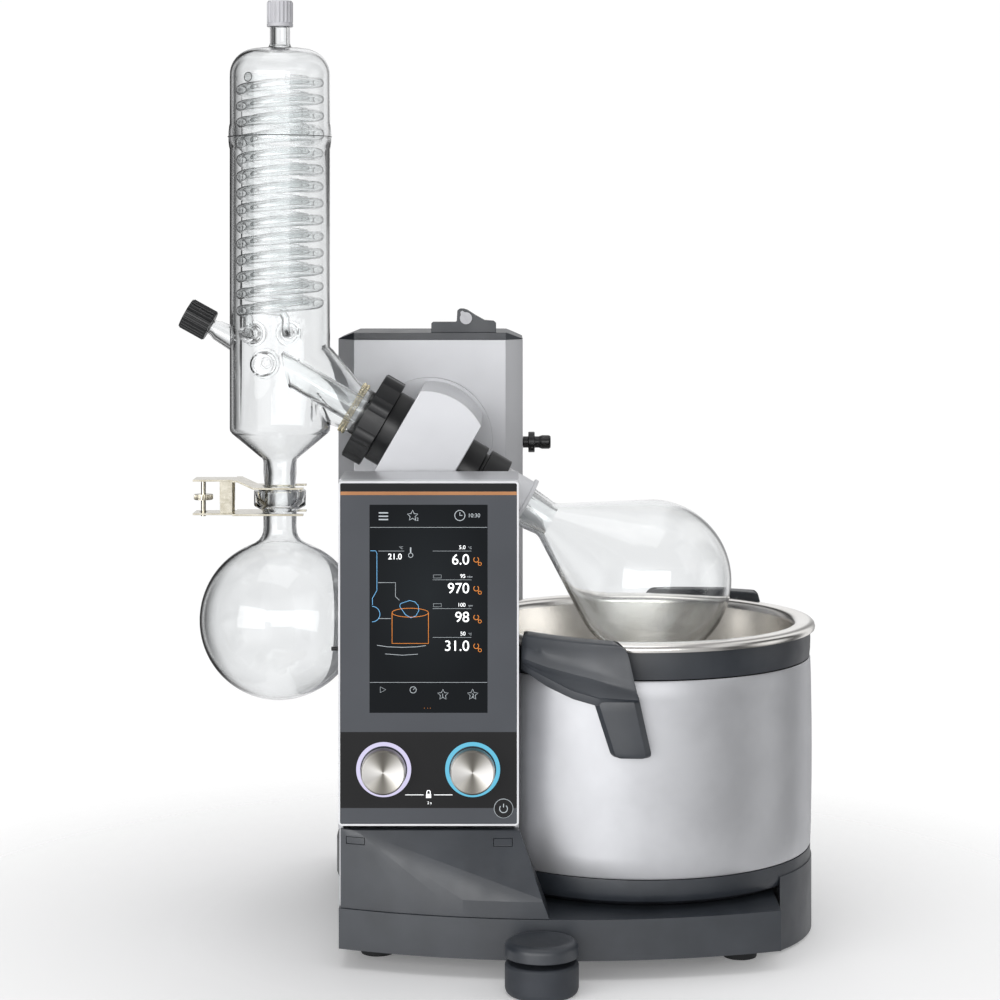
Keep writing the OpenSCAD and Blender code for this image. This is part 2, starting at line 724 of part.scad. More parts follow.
module pivot_disc() color(light) translate([column_x, 0, pivot_z]) to_back() {
  face = tower_front_y - slide_gap;
  translate([0, 0, face - 6]) cylinder(r = disc_r, h = 6);
  translate([0, 0, face - 1]) tube(pivot_d / 2, pivot_d / 2 - 5, 50);
}

module drive_housing() color(light) difference() {
  union() {
    difference() {
      head_body(head_r, head_len, head_front_y, tower_front_y - slide_gap - 6);
      head_body(head_r - head_wall, head_len - 2 * head_wall, head_front_y + head_wall, tower_front_y);
    }
    for (s = [-1, 1]) on_axis() rotate([0, s < 0 ? 180 : 0, 0])
      translate([0, 0, head_len / 2 - head_wall - bearing_w - 1])
      cylinder(r = boss_r, h = bearing_w + 2);
  }
  for (s = [-1, 1]) on_axis() rotate([0, s < 0 ? 180 : 0, 0]) {
    translate([0, 0, head_len / 2 - head_wall - bearing_w - 2])
      cylinder(r = bearing_d / 2 + seat_gap / 2, h = bearing_w + 2);
    cylinder(r = shaft_d / 2 + 3, h = head_len);
  }
}

module rotor_bearings() color("#C2C4C7") for (s = [-1, 1]) on_axis() rotate([0, s < 0 ? 180 : 0, 0])
  translate([0, 0, head_len / 2 - head_wall - bearing_w])
    tube(bearing_d / 2, shaft_d / 2 + run_gap, bearing_w);

// Threaded collar on the condenser's side and plain cover ring on the flask's side
module housing_collars() color(dark) {
  on_axis(nut_end) {
    tube(31, shaft_d / 2 + 1, -nut_end - head_len / 2);
    translate([0, 0, -nut_w / 2]) tube(spigot_r, shaft_d / 2 + 1, nut_w / 2 + eps);
  }
  on_axis(head_len / 2) tube(27, shaft_d / 2 + 1, cover_end - head_len / 2);
}

module on_motor(a) {
  on_axis(a) translate([0, motor_off, 0]) children();
}

module drive_motor() color("#4A4C50") on_motor(belt_a + 7) difference() {
  cylinder(r = motor_d / 2, h = head_len / 2 - head_wall - belt_a - 7);
  translate([0, 0, -1]) cylinder(r = 2.5 + run_gap, h = 12);
}

module motor_pulley() color(steel) on_motor(belt_a - 4) {
  cylinder(r = motor_pulley_r, h = 8);
  cylinder(r = 2.5, h = 18);
}

module drive_belt() color(dark) on_axis(belt_a - 3) rotate([0, 0, 90])
  belt_loop(rotor_pulley_r + slide_gap, motor_pulley_r + slide_gap, motor_off, 1.5, 6);

module hollow_shaft() color(steel) on_axis() {
  start = nut_end - nut_w / 2;
  difference() {
    union() {
      translate([0, 0, start]) cylinder(r = shaft_d / 2, h = ring_end - start);
      translate([0, 0, belt_a - 4]) cylinder(r = rotor_pulley_r, h = 8);
    }
    translate([0, 0, start - 1]) cylinder(r = shaft_bore / 2, h = ring_end - start + 2);
  }
}

module lock_ring() color(dark) on_axis(ring_start) {
  tube(26.7, shaft_d / 2 + seat_gap, ring_end - ring_start);
  translate([0, 0, cover_end + slide_gap - ring_start])
    tube(22, shaft_d / 2 + seat_gap, ring_start - cover_end - slide_gap + eps);
}

module flask_clamp() color(light) on_axis(ring_end) difference() {
  rim = joint_start - ring_end - 0.3;
  union() {
    cylinder(r = 21.5, h = clamp_end - ring_end);
    translate([0, 0, clamp_end - ring_end - 3]) cylinder(r = 24, h = 3);
  }
  translate([0, 0, -1]) cylinder(r = tube_r + seat_gap + 0.1, h = 60);
  translate([0, 0, rim]) cylinder(r = 19.3, h = clamp_end - ring_end - 3 - rim);
  translate([0, 0, rim]) cylinder(r = 17.4, h = 40);
}

module vapour_tube() color(glass) on_axis() {
  start = nut_end - nut_w / 2 + 1;
  rotate_extrude() polygon([
    [tube_r - 2.2, start], [tube_r, start], [tube_r, joint_start - 0.2], [joint_r1 - 0.1, joint_start - 0.1],
    [joint_r2 - 0.1, joint_end - 0.1], [joint_r2 - 0.1, joint_end + 6], [joint_r2 - 2.2, joint_end + 6],
    [joint_r2 - 2.2, joint_end], [tube_r - 2.2, joint_start]
  ]);
}

// Pear-shaped flask: a sphere with a cone drawn from its ground joint
function arc_points(cx, cy, r, a0, a1, n) = [
  for (i = [0:n]) let (a = a0 + (a1 - a0) * i / n) [cx + r * cos(a), cy + r * sin(a)]
];

module evaporating_flask() color(glass) on_axis() {
  r = flask_d / 2;
  ri = r - glass_wall;
  c = flask_reach;
  rotate_extrude() polygon(concat(
    [[joint_r1, joint_start], [19, joint_start], [19, joint_start + 4], [17, joint_start + 6],
     [17, clamp_end], [joint_r2 + glass_wall + 0.3, joint_end]],
    [[joint_r2 + glass_wall + 1.6, joint_end + 4]],
    arc_points(0, c, r, -30, 90, 22),
    arc_points(0, c, ri, 90, -30, 22),
    [[joint_r2 + 1.6, joint_end + 5], [joint_r2, joint_end]]
  ));
}

module union_nut() color(dark) on_axis(nut_start) difference() {
  lobes = 8;
  union() {
    cylinder(r = nut_d / 2 - 2.5, h = nut_w - slide_gap);
    for (i = [0:lobes - 1]) rotate([0, 0, (i + 0.5) * 360 / lobes]) translate([nut_d / 2 - 9, 0, 0.8])
      cylinder(r = 9, h = nut_w - 1.6, $fn = 32);
  }
  translate([0, 0, -1]) cylinder(r = 23, h = nut_w + 2);
  translate([0, 0, 3.6]) cylinder(r = spigot_r + run_gap, h = nut_w);
}

// Condenser: one blown glass body with its side arm, feed port, hose ports, top neck and drain
module jacket_profile(inset) {
  r = jacket_d / 2 - inset;
  neck = drain_d / 2 - inset;
  top_r = 8.2 - inset;
  bottom = inset > 0 ? ball_z - 14 : ball_z - 11.5;
  rotate_extrude() polygon(concat(
    [[0, bottom], [neck - (inset > 0 ? 1 : 2.2), bottom], [neck - (inset > 0 ? 1 : 0), drain_z - 12],
     [neck, drain_z - 2], [neck + 3, drain_z + inset * 0.6]],
    [[r, jacket_low_z + inset * 0.3]],
    [[r, jacket_top_z]],
    arc_points(r - shoulder_h, jacket_top_z, shoulder_h, 0, 78, 6),
    [[top_r + 2, jacket_top_z + shoulder_h - inset], [top_r, jacket_top_z + shoulder_h + 4 - inset],
     [top_r, neck_top_z + (inset > 0 ? 20 : 15)], [0, neck_top_z + (inset > 0 ? 20 : 15)]]
  ));
}

module arm_profile(inset) on_axis() {
  translate([0, 0, -125]) cylinder(r1 = 39 - inset, r2 = arm_r - inset, h = 53);
  translate([0, 0, -72 - eps]) cylinder(r = arm_r - inset, h = 72 + glass_flange_a + (inset > 0 ? 0 : 0.5));
}

// Fixed glass duct that leads the vapour into the condenser, cut off obliquely
module vapour_duct() difference() {
  on_axis(-142) cylinder(r = duct_r, h = 142 + glass_flange_a + 1);
  on_axis(-145) cylinder(r = duct_r - 2, h = 145);
  translate([condenser_x - 60, -30, 300]) rotate([0, -12, 0]) cube([95, 60, 300]);
}

module on_feed() {
  on_condenser(feed_z) rotate([0, -feed_tilt, 0]) children();
}

function hose_ports() = [[-28, 482], [3, 482], [-18, 456]];

// Places a shape on a hose port at the rear of the condenser, running to the back
module on_port(p) {
  translate([condenser_x + p[0], 0, p[1]]) to_back() children();
}

function port_r(p) = p == hose_ports()[2] ? 10.7 : 8.8;

module condenser_jacket() color(glass) {
  difference() {
    union() {
      on_condenser() jacket_profile(0);
      arm_profile(0);
      on_axis(glass_flange_a) cylinder(r = glass_flange_r, h = 4.3);
      on_feed() cylinder(r1 = 13, r2 = 8, h = 60);
      on_feed() translate([0, 0, 60 - eps]) cylinder(r = 6.5, h = 16);
      for (p = hose_ports()) on_port(p) cylinder(r = port_r(p), h = port_len - 1);
      on_condenser() intersection() {
        translate([0, 0, ball_z]) sphere(r = ball_d / 2);
        translate([0, 0, ball_z - 11.5]) cylinder(r = 30, h = 11.7);
      }
      on_condenser(ball_z + 0.2 - eps) cylinder(r1 = ball_d / 2, r2 = drain_d / 2, h = 1.2);
    }
    on_condenser() jacket_profile(glass_wall);
    arm_profile(glass_wall);
    on_feed() cylinder(r1 = 11, r2 = 6, h = 58);
    on_feed() cylinder(r = 4.5, h = 90);
    for (p = hose_ports()) on_port(p) cylinder(r = port_r(p) - 2, h = 62);
    on_axis(glass_flange_a - 1) cylinder(r = duct_r - 2, h = 10);
  }
  vapour_duct();
}

// A tube swept along a helix, with its first and last rings closed
function helix_ring(r, tube_r, z, pitch, angle, sides) = [
  for (k = [0:sides - 1]) let (b = 360 * k / sides, d = r + tube_r * cos(b))
    [d * cos(angle), d * sin(angle), z + pitch * angle / 360 + tube_r * sin(b)]
];

module helix(r, tube_r, z, pitch, turns, steps, sides) {
  n = turns * steps;
  points = [for (i = [0:n]) each helix_ring(r, tube_r, z, pitch, i * 360 / steps, sides)];
  walls = [for (i = [0:n - 1], k = [0:sides - 1]) let (a = i * sides + k, b = i * sides + (k + 1) % sides)
    [a, b, b + sides, a + sides]];
  first = [for (k = [sides - 1:-1:0]) k];
  last = [for (k = [0:sides - 1]) n * sides + k];
  polyhedron(points, concat(walls, [first, last]));
}

// A coil whose lower end drops to a coolant port and runs out through it
module coil(port, tube_d, coil_d) {
  r = (coil_d - tube_d) / 2;
  turn = acos(port[0] / r);
  rotate([0, 0, turn]) helix(r, tube_d / 2, coil_low_z, coil_pitch, coil_turns, 14, 6);
  translate([port[0], r * sin(turn), port[1] - tube_d / 2])
    cylinder(r = tube_d / 2 - 0.2, h = coil_low_z - port[1] + tube_d / 2);
  translate([port[0], r * sin(turn), port[1]]) to_back()
    cylinder(r = tube_d / 2 - 0.3, h = port_len - slide_gap - r * sin(turn));
}

module cooling_coils() color("#EAF3F5") on_condenser() {
  coil(hose_ports()[0], coil_outer_tube, coil_outer_d);
  coil(hose_ports()[1], coil_inner_tube, coil_inner_d);
}

// Wire spring that holds the condenser's neck
module spring_ring() color("#C8A968") on_axis(-70) for (i = [0:2]) translate([0, 0, i * 1.5])
  rotate_extrude() translate([arm_r + 1.1, 0]) circle(r = 0.9, $fn = 24);

// Plain hose nozzles on the three rear ports: two for coolant, one for vacuum
module hose_fittings() color("#C9CCD0") for (p = hose_ports()) on_port(p) {
  cap_r = port_r(p) + 2.6;
  translate([0, 0, port_len - 11]) tube(cap_r, port_r(p) + seat_gap, 11);
  translate([0, 0, port_len - eps]) difference() {
    union() {
      cylinder(r = cap_r, h = 4);
      cylinder(r = nozzle_d / 2, h = 26);
    }
    translate([0, 0, -1]) cylinder(r = nozzle_d / 2 - 2, h = 30);
  }
}

module ribbed_cap(r, h, ribs) {
  cylinder(r = r, h = h);
  for (i = [0:ribs - 1]) rotate([0, 0, i * 360 / ribs]) translate([r - 0.2, 0, 0.8])
    cylinder(r = 0.9, h = h - 1.8, $fn = 16);
}

// Ribbed cap on the condenser's top neck
module top_cap() color("#C8C8CC") on_condenser(neck_top_z) difference() {
  union() {
    translate([0, 0, 2.5]) ribbed_cap(10, 18.5, 20);
    cylinder(r = 10.7, h = 2.6);
  }
  translate([0, 0, -1]) cylinder(r = 8.2 + run_gap, h = 16.5);
}

module feed_cap() color(dark) on_feed() translate([0, 0, 65]) difference() {
  ribbed_cap(12.4, 23, 24);
  translate([0, 0, -1]) cylinder(r = 6.5 + run_gap, h = 13.5);
}

// Clip over the ball joint: two forks on a pin, set by a knurled screw between their tails
module fork_plan() difference() {
  translate([clip_left_x, -20]) square([clip_right_x - clip_left_x, 40]);
  translate([condenser_x, 0]) circle(r = drain_d / 2 + 0.7);
  translate([condenser_x, -drain_d / 2 - 0.7]) square([60, drain_d + 1.4]);
  for (y = [13, -33]) translate([clip_left_x - 1, y]) square([clip_tail, 20]);
}

module clip_ears(y, z0, z1, hole) for (s = [-1, 1])
  translate([clip_pin_x, s * y - ear_t / 2, 0]) difference() {
    translate([-5, 0, z0]) cube([10, ear_t, z1 - z0]);
    translate([0, -1, clip_pin_z]) to_back() cylinder(r = hole, h = ear_t + 2);
  }

module clip_upper_jaw() color("#B8B4A8") {
  up = fork_top_z + tail_rise;
  intersection() {
    linear_extrude(ball_z + 50) fork_plan();
    rotate([90, 0, 0]) linear_extrude(60, center = true) polygon([
      [clip_left_x, up], [clip_left_x + clip_tail + 3, up], [condenser_x - 20, fork_top_z],
      [clip_right_x, fork_top_z], [clip_right_x, fork_top_z + fork_t],
      [condenser_x - 20, fork_top_z + fork_t],
      [clip_left_x + clip_tail + 3, up + fork_t], [clip_left_x, up + fork_t]
    ]);
  }
  clip_ears(12, clip_pin_z - 4, up + eps, 1);
  translate([clip_pin_x, -13, clip_pin_z]) to_back() cylinder(r = 1.5, h = 26);
}

module clip_lower_jaw() color("#B8B4A8") {
  difference() {
    translate([0, 0, fork_low_z]) linear_extrude(fork_t) fork_plan();
    translate([clip_screw_x, 0, fork_low_z - 1]) cylinder(r = 3.2, h = fork_t + 2);
  }
  clip_ears(10, fork_low_z + fork_t - eps, clip_pin_z + 4, 1.5 + run_gap);
}

module clip_screw() color(steel) translate([clip_screw_x, 0, 0]) {
  top = fork_top_z + tail_rise - slide_gap;
  translate([0, 0, fork_low_z - 2]) cylinder(r = 2, h = top - fork_low_z + 2);
  translate([0, 0, ball_z - 8]) cylinder(r = 7.4, h = 4.5);
  for (i = [0:23]) rotate([0, 0, i * 15]) translate([7.4, 0, ball_z - 7.6])
    cylinder(r = 0.5, h = 3.7, $fn = 16);
}

// Receiving flask
module receiving_flask() color(glass) on_condenser() {
  r = flask_d / 2;
  ri = r - glass_wall;
  neck = drain_d / 2;
  rotate_extrude() polygon(concat(
    [[0, receiver_z - r]],
    arc_points(0, receiver_z, r, -89.9, 68, 30),
    [[neck + 3, receiver_z + r + 3], [neck, receiver_z + r + 10], [neck, ball_z - 17.5],
    [cup_r, ball_z - 13],
     [cup_r, ball_z - 0.4]],
    arc_points(0, ball_z, ball_d / 2 + 0.1, -1.3, -44, 6),
    [[neck - glass_wall, ball_z - 17], [neck - glass_wall, receiver_z + r + 9],
     [neck + 1, receiver_z + r + 1.5]],
    arc_points(0, receiver_z, ri, 68, -89.9, 30),
    [[0, receiver_z - ri]]
  ));
}

module bath_vessel() color(steel) on_bath() rotate_extrude($fn = 160) polygon([
  [0, bath_floor_z - 1.5], [bath_inner_r - 12, bath_floor_z - 1.5], [bath_inner_r - 2, bath_floor_z + 3],
  [bath_inner_r + 1.5, bath_floor_z + 14], [bath_inner_r + 1.5, bath_top_z - 4],
  [bath_inner_r + 4, bath_top_z - 1.5],
  [bath_lip_r - 3, bath_top_z - 1.5], [bath_lip_r - 1.4, bath_top_z - 3], [bath_lip_r - 1.4, bath_top_z - 7],
  [bath_lip_r, bath_top_z - 7], [bath_lip_r, bath_top_z - 2], [bath_lip_r - 2, bath_top_z],
  [bath_inner_r + 3, bath_top_z], [bath_inner_r, bath_top_z - 3], [bath_inner_r, bath_floor_z + 14],
  [bath_inner_r - 3.2, bath_floor_z + 4], [bath_inner_r - 12, bath_floor_z], [0, bath_floor_z]
]);

module bath_shell() color(steel) on_bath() {
  translate([0, 0, bath_shell_z]) tube(bath_shell_r, bath_shell_r - 2, bath_band_z - bath_shell_z - 0.5);
  translate([0, 0, bath_band_z]) tube(bath_shell_r - 1, bath_shell_r - 5, bath_top_z - 1.7 - bath_band_z);
}

module bath_base() color(slate) on_bath() {
  gap = 4;
  difference() {
    union() {
      rotate_extrude($fn = 160) polygon([
        [0, base_top_z + slide_gap], [bath_shell_r - 15.4, base_top_z + slide_gap],
        [bath_shell_r - 3.4, base_top_z + 6],
        [bath_shell_r - 0.4, base_top_z + 12], [bath_shell_r - 0.4, bath_shell_z - 0.3],
        [0, bath_shell_z - 0.3]
      ]);
      // skirt that hangs past the platform's right end
      intersection() {
        translate([0, 0, 2]) cylinder(r = bath_shell_r + 0.6, h = base_top_z + 12, $fn = 160);
        translate([base_right_x + gap - bath_x, -bath_shell_r, 0])
          cube([bath_shell_r, 2 * bath_shell_r, 200]);
      }
    }
    translate([0, 0, base_top_z + slide_gap + 4]) cylinder(r = bath_shell_r - 19.4, h = 30);
  }
}

module bath_heater() color("#8A5A3C") on_bath(bath_floor_z - 10) {
  difference() {
    cylinder(r = bath_inner_r - 27, h = 8.3);
    translate([0, 0, -1]) cylinder(r = 30, h = 20);
  }
}

// Wing-shaped handle: an outer face and a top web round the rim, with a leg down to the shell
module handle_outline() rotate([90, 0, 0]) linear_extrude(2 * bath_lip_r) polygon([
  [-112, bath_top_z + 6], [-24, bath_top_z + 2], [-15.6, bath_top_z - 4], [-6, bath_top_z - 43],
  [3.4, handle_foot_z], [-27.4, handle_foot_z], [-39, bath_top_z - 49], [-112, bath_top_z - 20]
]);

module bath_handle() {
  reach = bath_lip_r + handle_reach;
  difference() {
    intersection() {
      handle_outline();
      union() {
        translate([0, 0, handle_foot_z - 1]) tube(reach, reach - 5, 120);
        translate([0, 0, bath_top_z - 4]) tube(reach - eps, bath_lip_r + 0.5, 20);
        intersection() {
          translate([0, 0, handle_foot_z - 1]) cylinder(r = reach - 1, h = 90);
          translate([-39, -2 * bath_lip_r, handle_foot_z - 1]) cube([45, 2 * bath_lip_r, 90]);
        }
      }
    }
    translate([0, 0, bath_top_z - 8]) cylinder(r = bath_lip_r + 0.5, h = 30, $fn = 160);
    translate([0, 0, handle_foot_z - 2]) cylinder(r = bath_shell_r + seat_gap, h = 100, $fn = 160);
    // slanted face of the leg
    translate([-60, -reach - 2, handle_foot_z]) rotate([22, 0, 0]) translate([0, -60, -60])
      cube([90, 60, 100]);
  }
}

module bath_handles() color(slate) on_bath() {
  difference() {
    bath_handle();
    translate([console_right_x + 2 - bath_x - 60, -2 * bath_lip_r, 0]) cube([60, 2 * bath_lip_r, 400]);
  }
  rotate([0, 0, 180]) bath_handle();
}

base_platform();
rubber_feet();
foot_bracket();
foot_pad();
foot_handwheel();
console_housing();
wedge_cover();
release_button_left();
release_button_right();
port_cover();
power_inlet();
main_switch();
lift_mast();
guide_rods();
lift_motor();
lift_pulley();
lift_belt();
lead_screw();
panel_bezel();
panel_face();
touch_display();
light_rings();
knob_left();
knob_right();
power_button();
tower_shell();
tower_cap();
lift_carriage();
tilt_bearing();
stop_block();
stop_dial();
tilt_lock_knob();
pivot_disc();
drive_housing();
housing_collars();
rotor_bearings();
drive_motor();
drive_belt();
motor_pulley();
hollow_shaft();
lock_ring();
flask_clamp();
vapour_tube();
evaporating_flask();
union_nut();
condenser_jacket();
cooling_coils();
spring_ring();
hose_fittings();
top_cap();
feed_cap();
clip_upper_jaw();
clip_lower_jaw();
clip_screw();
receiving_flask();
bath_vessel();
bath_shell();
bath_base();
bath_heater();
bath_handles();
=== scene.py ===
import json
import math

import bmesh
import bpy
from mathutils import Matrix, Vector


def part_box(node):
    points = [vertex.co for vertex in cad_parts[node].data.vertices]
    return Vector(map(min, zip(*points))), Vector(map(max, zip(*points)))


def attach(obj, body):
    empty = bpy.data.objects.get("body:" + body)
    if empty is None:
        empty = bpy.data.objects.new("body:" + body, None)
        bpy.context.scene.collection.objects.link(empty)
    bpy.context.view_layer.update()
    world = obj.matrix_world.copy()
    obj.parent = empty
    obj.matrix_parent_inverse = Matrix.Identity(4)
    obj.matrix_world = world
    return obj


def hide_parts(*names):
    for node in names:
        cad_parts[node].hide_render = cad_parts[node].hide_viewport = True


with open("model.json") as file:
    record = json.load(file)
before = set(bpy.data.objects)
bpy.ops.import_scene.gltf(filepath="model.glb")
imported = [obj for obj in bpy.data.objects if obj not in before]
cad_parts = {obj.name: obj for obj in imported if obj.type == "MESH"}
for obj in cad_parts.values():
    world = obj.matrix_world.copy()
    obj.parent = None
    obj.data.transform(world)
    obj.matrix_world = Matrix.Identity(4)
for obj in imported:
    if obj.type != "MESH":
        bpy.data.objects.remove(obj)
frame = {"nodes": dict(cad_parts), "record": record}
nodes = frame["nodes"]
record = frame["record"]
bodyOf = {node: body for body, names in record["behaviour"]["bodies"].items() for node in names}
slotOf = {part["node"]: part["material_slot"] for part in record["subparts"]}
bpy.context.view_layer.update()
scene = bpy.context.scene
mm = 0.001


def linear(hexText):
    channels = [int(hexText[i:i + 2], 16) / 255 for i in (1, 3, 5)]
    return [c / 12.92 if c <= 0.04045 else ((c + 0.055) / 1.055) ** 2.4 for c in channels] + [1.0]


def addNode(tree, kind, values=None, links=None):
    node = tree.nodes.new(kind)
    for name, value in (values or {}).items():
        if isinstance(name, int) or name in node.inputs:
            node.inputs[name].default_value = value
        else:
            setattr(node, name, value)
    for name, source in (links or {}).items():
        tree.links.new(source, node.inputs[name])
    return node


def newMaterial(name, sockets):
    material = bpy.data.materials.new(name)
    material.use_nodes = True
    tree = material.node_tree
    shader = tree.nodes["Principled BSDF"]
    for socket, value in sockets.items():
        shader.inputs[socket].default_value = value
    return material, tree, shader


# Gives a ramp its stops, each a place from 0 to 1 with a linear colour, in rising order.
def setStops(ramp, stops):
    elements = ramp.color_ramp.elements
    elements[0].position, elements[0].color = stops[0]
    elements[1].position, elements[1].color = stops[-1]
    for place, colour in stops[1:-1]:
        elements.new(place).color = colour


# Grain of a surface, its size and depth in metres.
def grainBump(tree, shader, size, depth):
    coords = addNode(tree, "ShaderNodeTexCoord")
    noise = addNode(tree, "ShaderNodeTexNoise", {"Scale": 1 / size, "Detail": 4.0, "Roughness": 0.6},
                    {"Vector": coords.outputs["Object"]})
    bump = addNode(tree, "ShaderNodeBump", {"Strength": 1.0, "Distance": depth}, {"Height": noise.outputs["Fac"]})
    tree.links.new(bump.outputs["Normal"], shader.inputs["Normal"])


# Faint drift between two close tones, in patches of a size in metres.
def twoTone(tree, shader, dark, lightTone, size):
    coords = addNode(tree, "ShaderNodeTexCoord")
    noise = addNode(tree, "ShaderNodeTexNoise", {"Scale": 1 / size, "Detail": 3.0},
                    {"Vector": coords.outputs["Object"]})
    ramp = addNode(tree, "ShaderNodeValToRGB", links={"Fac": noise.outputs["Fac"]})
    setStops(ramp, [(0.35, linear(dark)), (0.65, linear(lightTone))])
    tree.links.new(ramp.outputs["Color"], shader.inputs["Base Color"])


def roughnessDrift(tree, shader, size, low, high):
    coords = addNode(tree, "ShaderNodeTexCoord")
    noise = addNode(tree, "ShaderNodeTexNoise", {"Scale": 1 / size, "Detail": 2.0},
                    {"Vector": coords.outputs["Object"]})
    span = addNode(tree, "ShaderNodeMapRange", {"From Min": 0.3, "From Max": 0.7, "To Min": low, "To Max": high},
                   {"Value": noise.outputs["Fac"]})
    tree.links.new(span.outputs["Result"], shader.inputs["Roughness"])


def mouldedPlastic(name, dark, lightTone, low, high, grainSize, depth, shine=0.5):
    material, tree, shader = newMaterial(name, {"IOR": 1.5, "Specular IOR Level": shine})
    twoTone(tree, shader, dark, lightTone, 0.03)
    roughnessDrift(tree, shader, 0.02, low, high)
    grainBump(tree, shader, grainSize, depth)
    return material


def metalFinish(name, dark, lightTone, size, sockets, grain=None):
    material, tree, shader = newMaterial(name, sockets)
    twoTone(tree, shader, dark, lightTone, size)
    if grain:
        grainBump(tree, shader, *grain)
    return material


# Injection-moulded ABS with a fine spark-eroded texture: reads as an even, dull slate with soft highlights.
slatePlastic = mouldedPlastic("slateAbsMoulded", "#262B32", "#2F343B", 0.38, 0.48, 0.0006, 0.00002, 0.9)
# Glass-filled nylon, moulded: almost black, its edges catch a satin highlight.
blackNylon = mouldedPlastic("blackNylonMoulded", "#0A0B0C", "#121315", 0.28, 0.4, 0.0008, 0.00003, 0.6)
# Rubber, moulded: black and matt with no clear highlight.
blackRubber = mouldedPlastic("blackRubberMoulded", "#1B1C1E", "#26282A", 0.62, 0.75, 0.0009, 0.00004)
# Soft foot rubber, dyed: dark slate and matt.
slateRubber = mouldedPlastic("slateRubberMoulded", "#2B2F35", "#33373E", 0.5, 0.62, 0.0009, 0.00003)
# Polypropylene caps, moulded: milky light grey.
greyCapPlastic = mouldedPlastic("greyPolypropyleneMoulded", "#C8C8CC", "#D4D4D8", 0.35, 0.45, 0.0008, 0.00002)
# White ABS, moulded: clean and bright with a soft sheen.
whitePlastic = mouldedPlastic("whiteAbsMoulded", "#E4E5E8", "#EFF0F2", 0.3, 0.38, 0.0008, 0.00001)

# Aluminium shells with a fine silver powder coat: light grey that shades like satin metal.
silverPaint = metalFinish("aluminiumSilverPowderCoat", "#C6C7CA", "#D0D1D4", 0.09, {
    "Metallic": 0.3, "Roughness": 0.34, "Coat Weight": 0.15, "Coat Roughness": 0.25}, (0.0005, 0.000008))

# Panel foil, back-printed polycarbonate: dark slate with a smooth, glossy front.
panelFoil, tree, shader = newMaterial("polycarbonateFoilPrinted", {
    "IOR": 1.58, "Roughness": 0.16, "Coat Weight": 0.4, "Coat Roughness": 0.05})
twoTone(tree, shader, "#373B42", "#40444B", 0.12)
blackFoil, tree, shader = newMaterial("polycarbonateFoilBlack", {
    "IOR": 1.58, "Roughness": 0.14, "Specular IOR Level": 0.2})
twoTone(tree, shader, "#1C1C1D", "#222223", 0.12)
orangeFoil, tree, shader = newMaterial("polycarbonateFoilOrange", {"IOR": 1.58, "Roughness": 0.2})
twoTone(tree, shader, "#AF7443", "#C08452", 0.05)

# Stainless steel, turned: concentric grooves, together with a painted reflection in its colour, give each knob's face
# its fan of light at the sides and dark above and below.
turnedSteelPaintedFan, tree, shader = newMaterial("stainlessSteelTurnedPaintedFan", {
    "Metallic": 1.0, "Roughness": 0.32, "Anisotropic": 0.9, "Anisotropic Rotation": 0.25})
tangent = addNode(tree, "ShaderNodeTangent", {"direction_type": "RADIAL", "axis": "Y"})
tree.links.new(tangent.outputs["Tangent"], shader.inputs["Tangent"])
knobCentres = [sum(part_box(name), Vector()) / 2 for name in ("knob_left", "knob_right")]
coords = addNode(tree, "ShaderNodeTexCoord")
split = addNode(tree, "ShaderNodeSeparateXYZ", links={"Vector": coords.outputs["Object"]})
knobSpan = ((knobCentres[0].x + knobCentres[1].x) / 2, (knobCentres[1].x - knobCentres[0].x) / 2)
across = addNode(tree, "ShaderNodeMath", {"operation": "SUBTRACT", 1: knobSpan[0]}, {0: split.outputs["X"]})
mirrored = addNode(tree, "ShaderNodeMath", {"operation": "ABSOLUTE"}, {0: across.outputs[0]})
sideways = addNode(tree, "ShaderNodeMath", {"operation": "SUBTRACT", 1: knobSpan[1]}, {0: mirrored.outputs[0]})
upwards = addNode(tree, "ShaderNodeMath", {"operation": "SUBTRACT", 1: knobCentres[0].z}, {0: split.outputs["Z"]})
around = addNode(tree, "ShaderNodeMath", {"operation": "ARCTAN2"}, {0: upwards.outputs[0], 1: sideways.outputs[0]})
# painted reflection: twice the angle round each knob's middle makes the colour light to its left and right and dark
# above and below it
doubled = addNode(tree, "ShaderNodeMath", {"operation": "MULTIPLY", 1: 2.0}, {0: around.outputs[0]})
paintedFanWave = addNode(tree, "ShaderNodeMath", {"operation": "COSINE"}, {0: doubled.outputs[0]})
paintedFanSpan = addNode(tree, "ShaderNodeMapRange", {"From Min": -1.0, "From Max": 1.0}, {"Value": paintedFanWave.outputs[0]})
paintedFanRamp = addNode(tree, "ShaderNodeValToRGB", links={"Fac": paintedFanSpan.outputs["Result"]})
setStops(paintedFanRamp, [(0.0, linear("#6F6C66")), (0.4, linear("#B4B1AA")), (1.0, linear("#F4F2EE"))])
tree.links.new(paintedFanRamp.outputs["Color"], shader.inputs["Base Color"])
spot = addNode(tree, "ShaderNodeCombineXYZ", links={0: sideways.outputs[0], 1: upwards.outputs[0]})
away = addNode(tree, "ShaderNodeVectorMath", {"operation": "LENGTH"}, {0: spot.outputs[0]})
# the real grooves are about 0.1 mm apart, here 0.4 mm, so that they show
grooves = addNode(tree, "ShaderNodeTexNoise", {"noise_dimensions": "1D", "Scale": 2500.0, "Detail": 2.0},
                  {"W": away.outputs["Value"]})
grooveBump = addNode(tree, "ShaderNodeBump", {"Strength": 0.6, "Distance": 0.00004}, {"Height": grooves.outputs["Fac"]})
tree.links.new(grooveBump.outputs["Normal"], shader.inputs["Normal"])

# Stainless steel, electropolished: bright, cool, with soft broad reflections in the bath.
polishedSteel = metalFinish("stainlessSteelPolished", "#EDEAE5", "#F3F1ED", 0.05, {
    "Metallic": 1.0, "Roughness": 0.24}, (0.004, 0.00001))
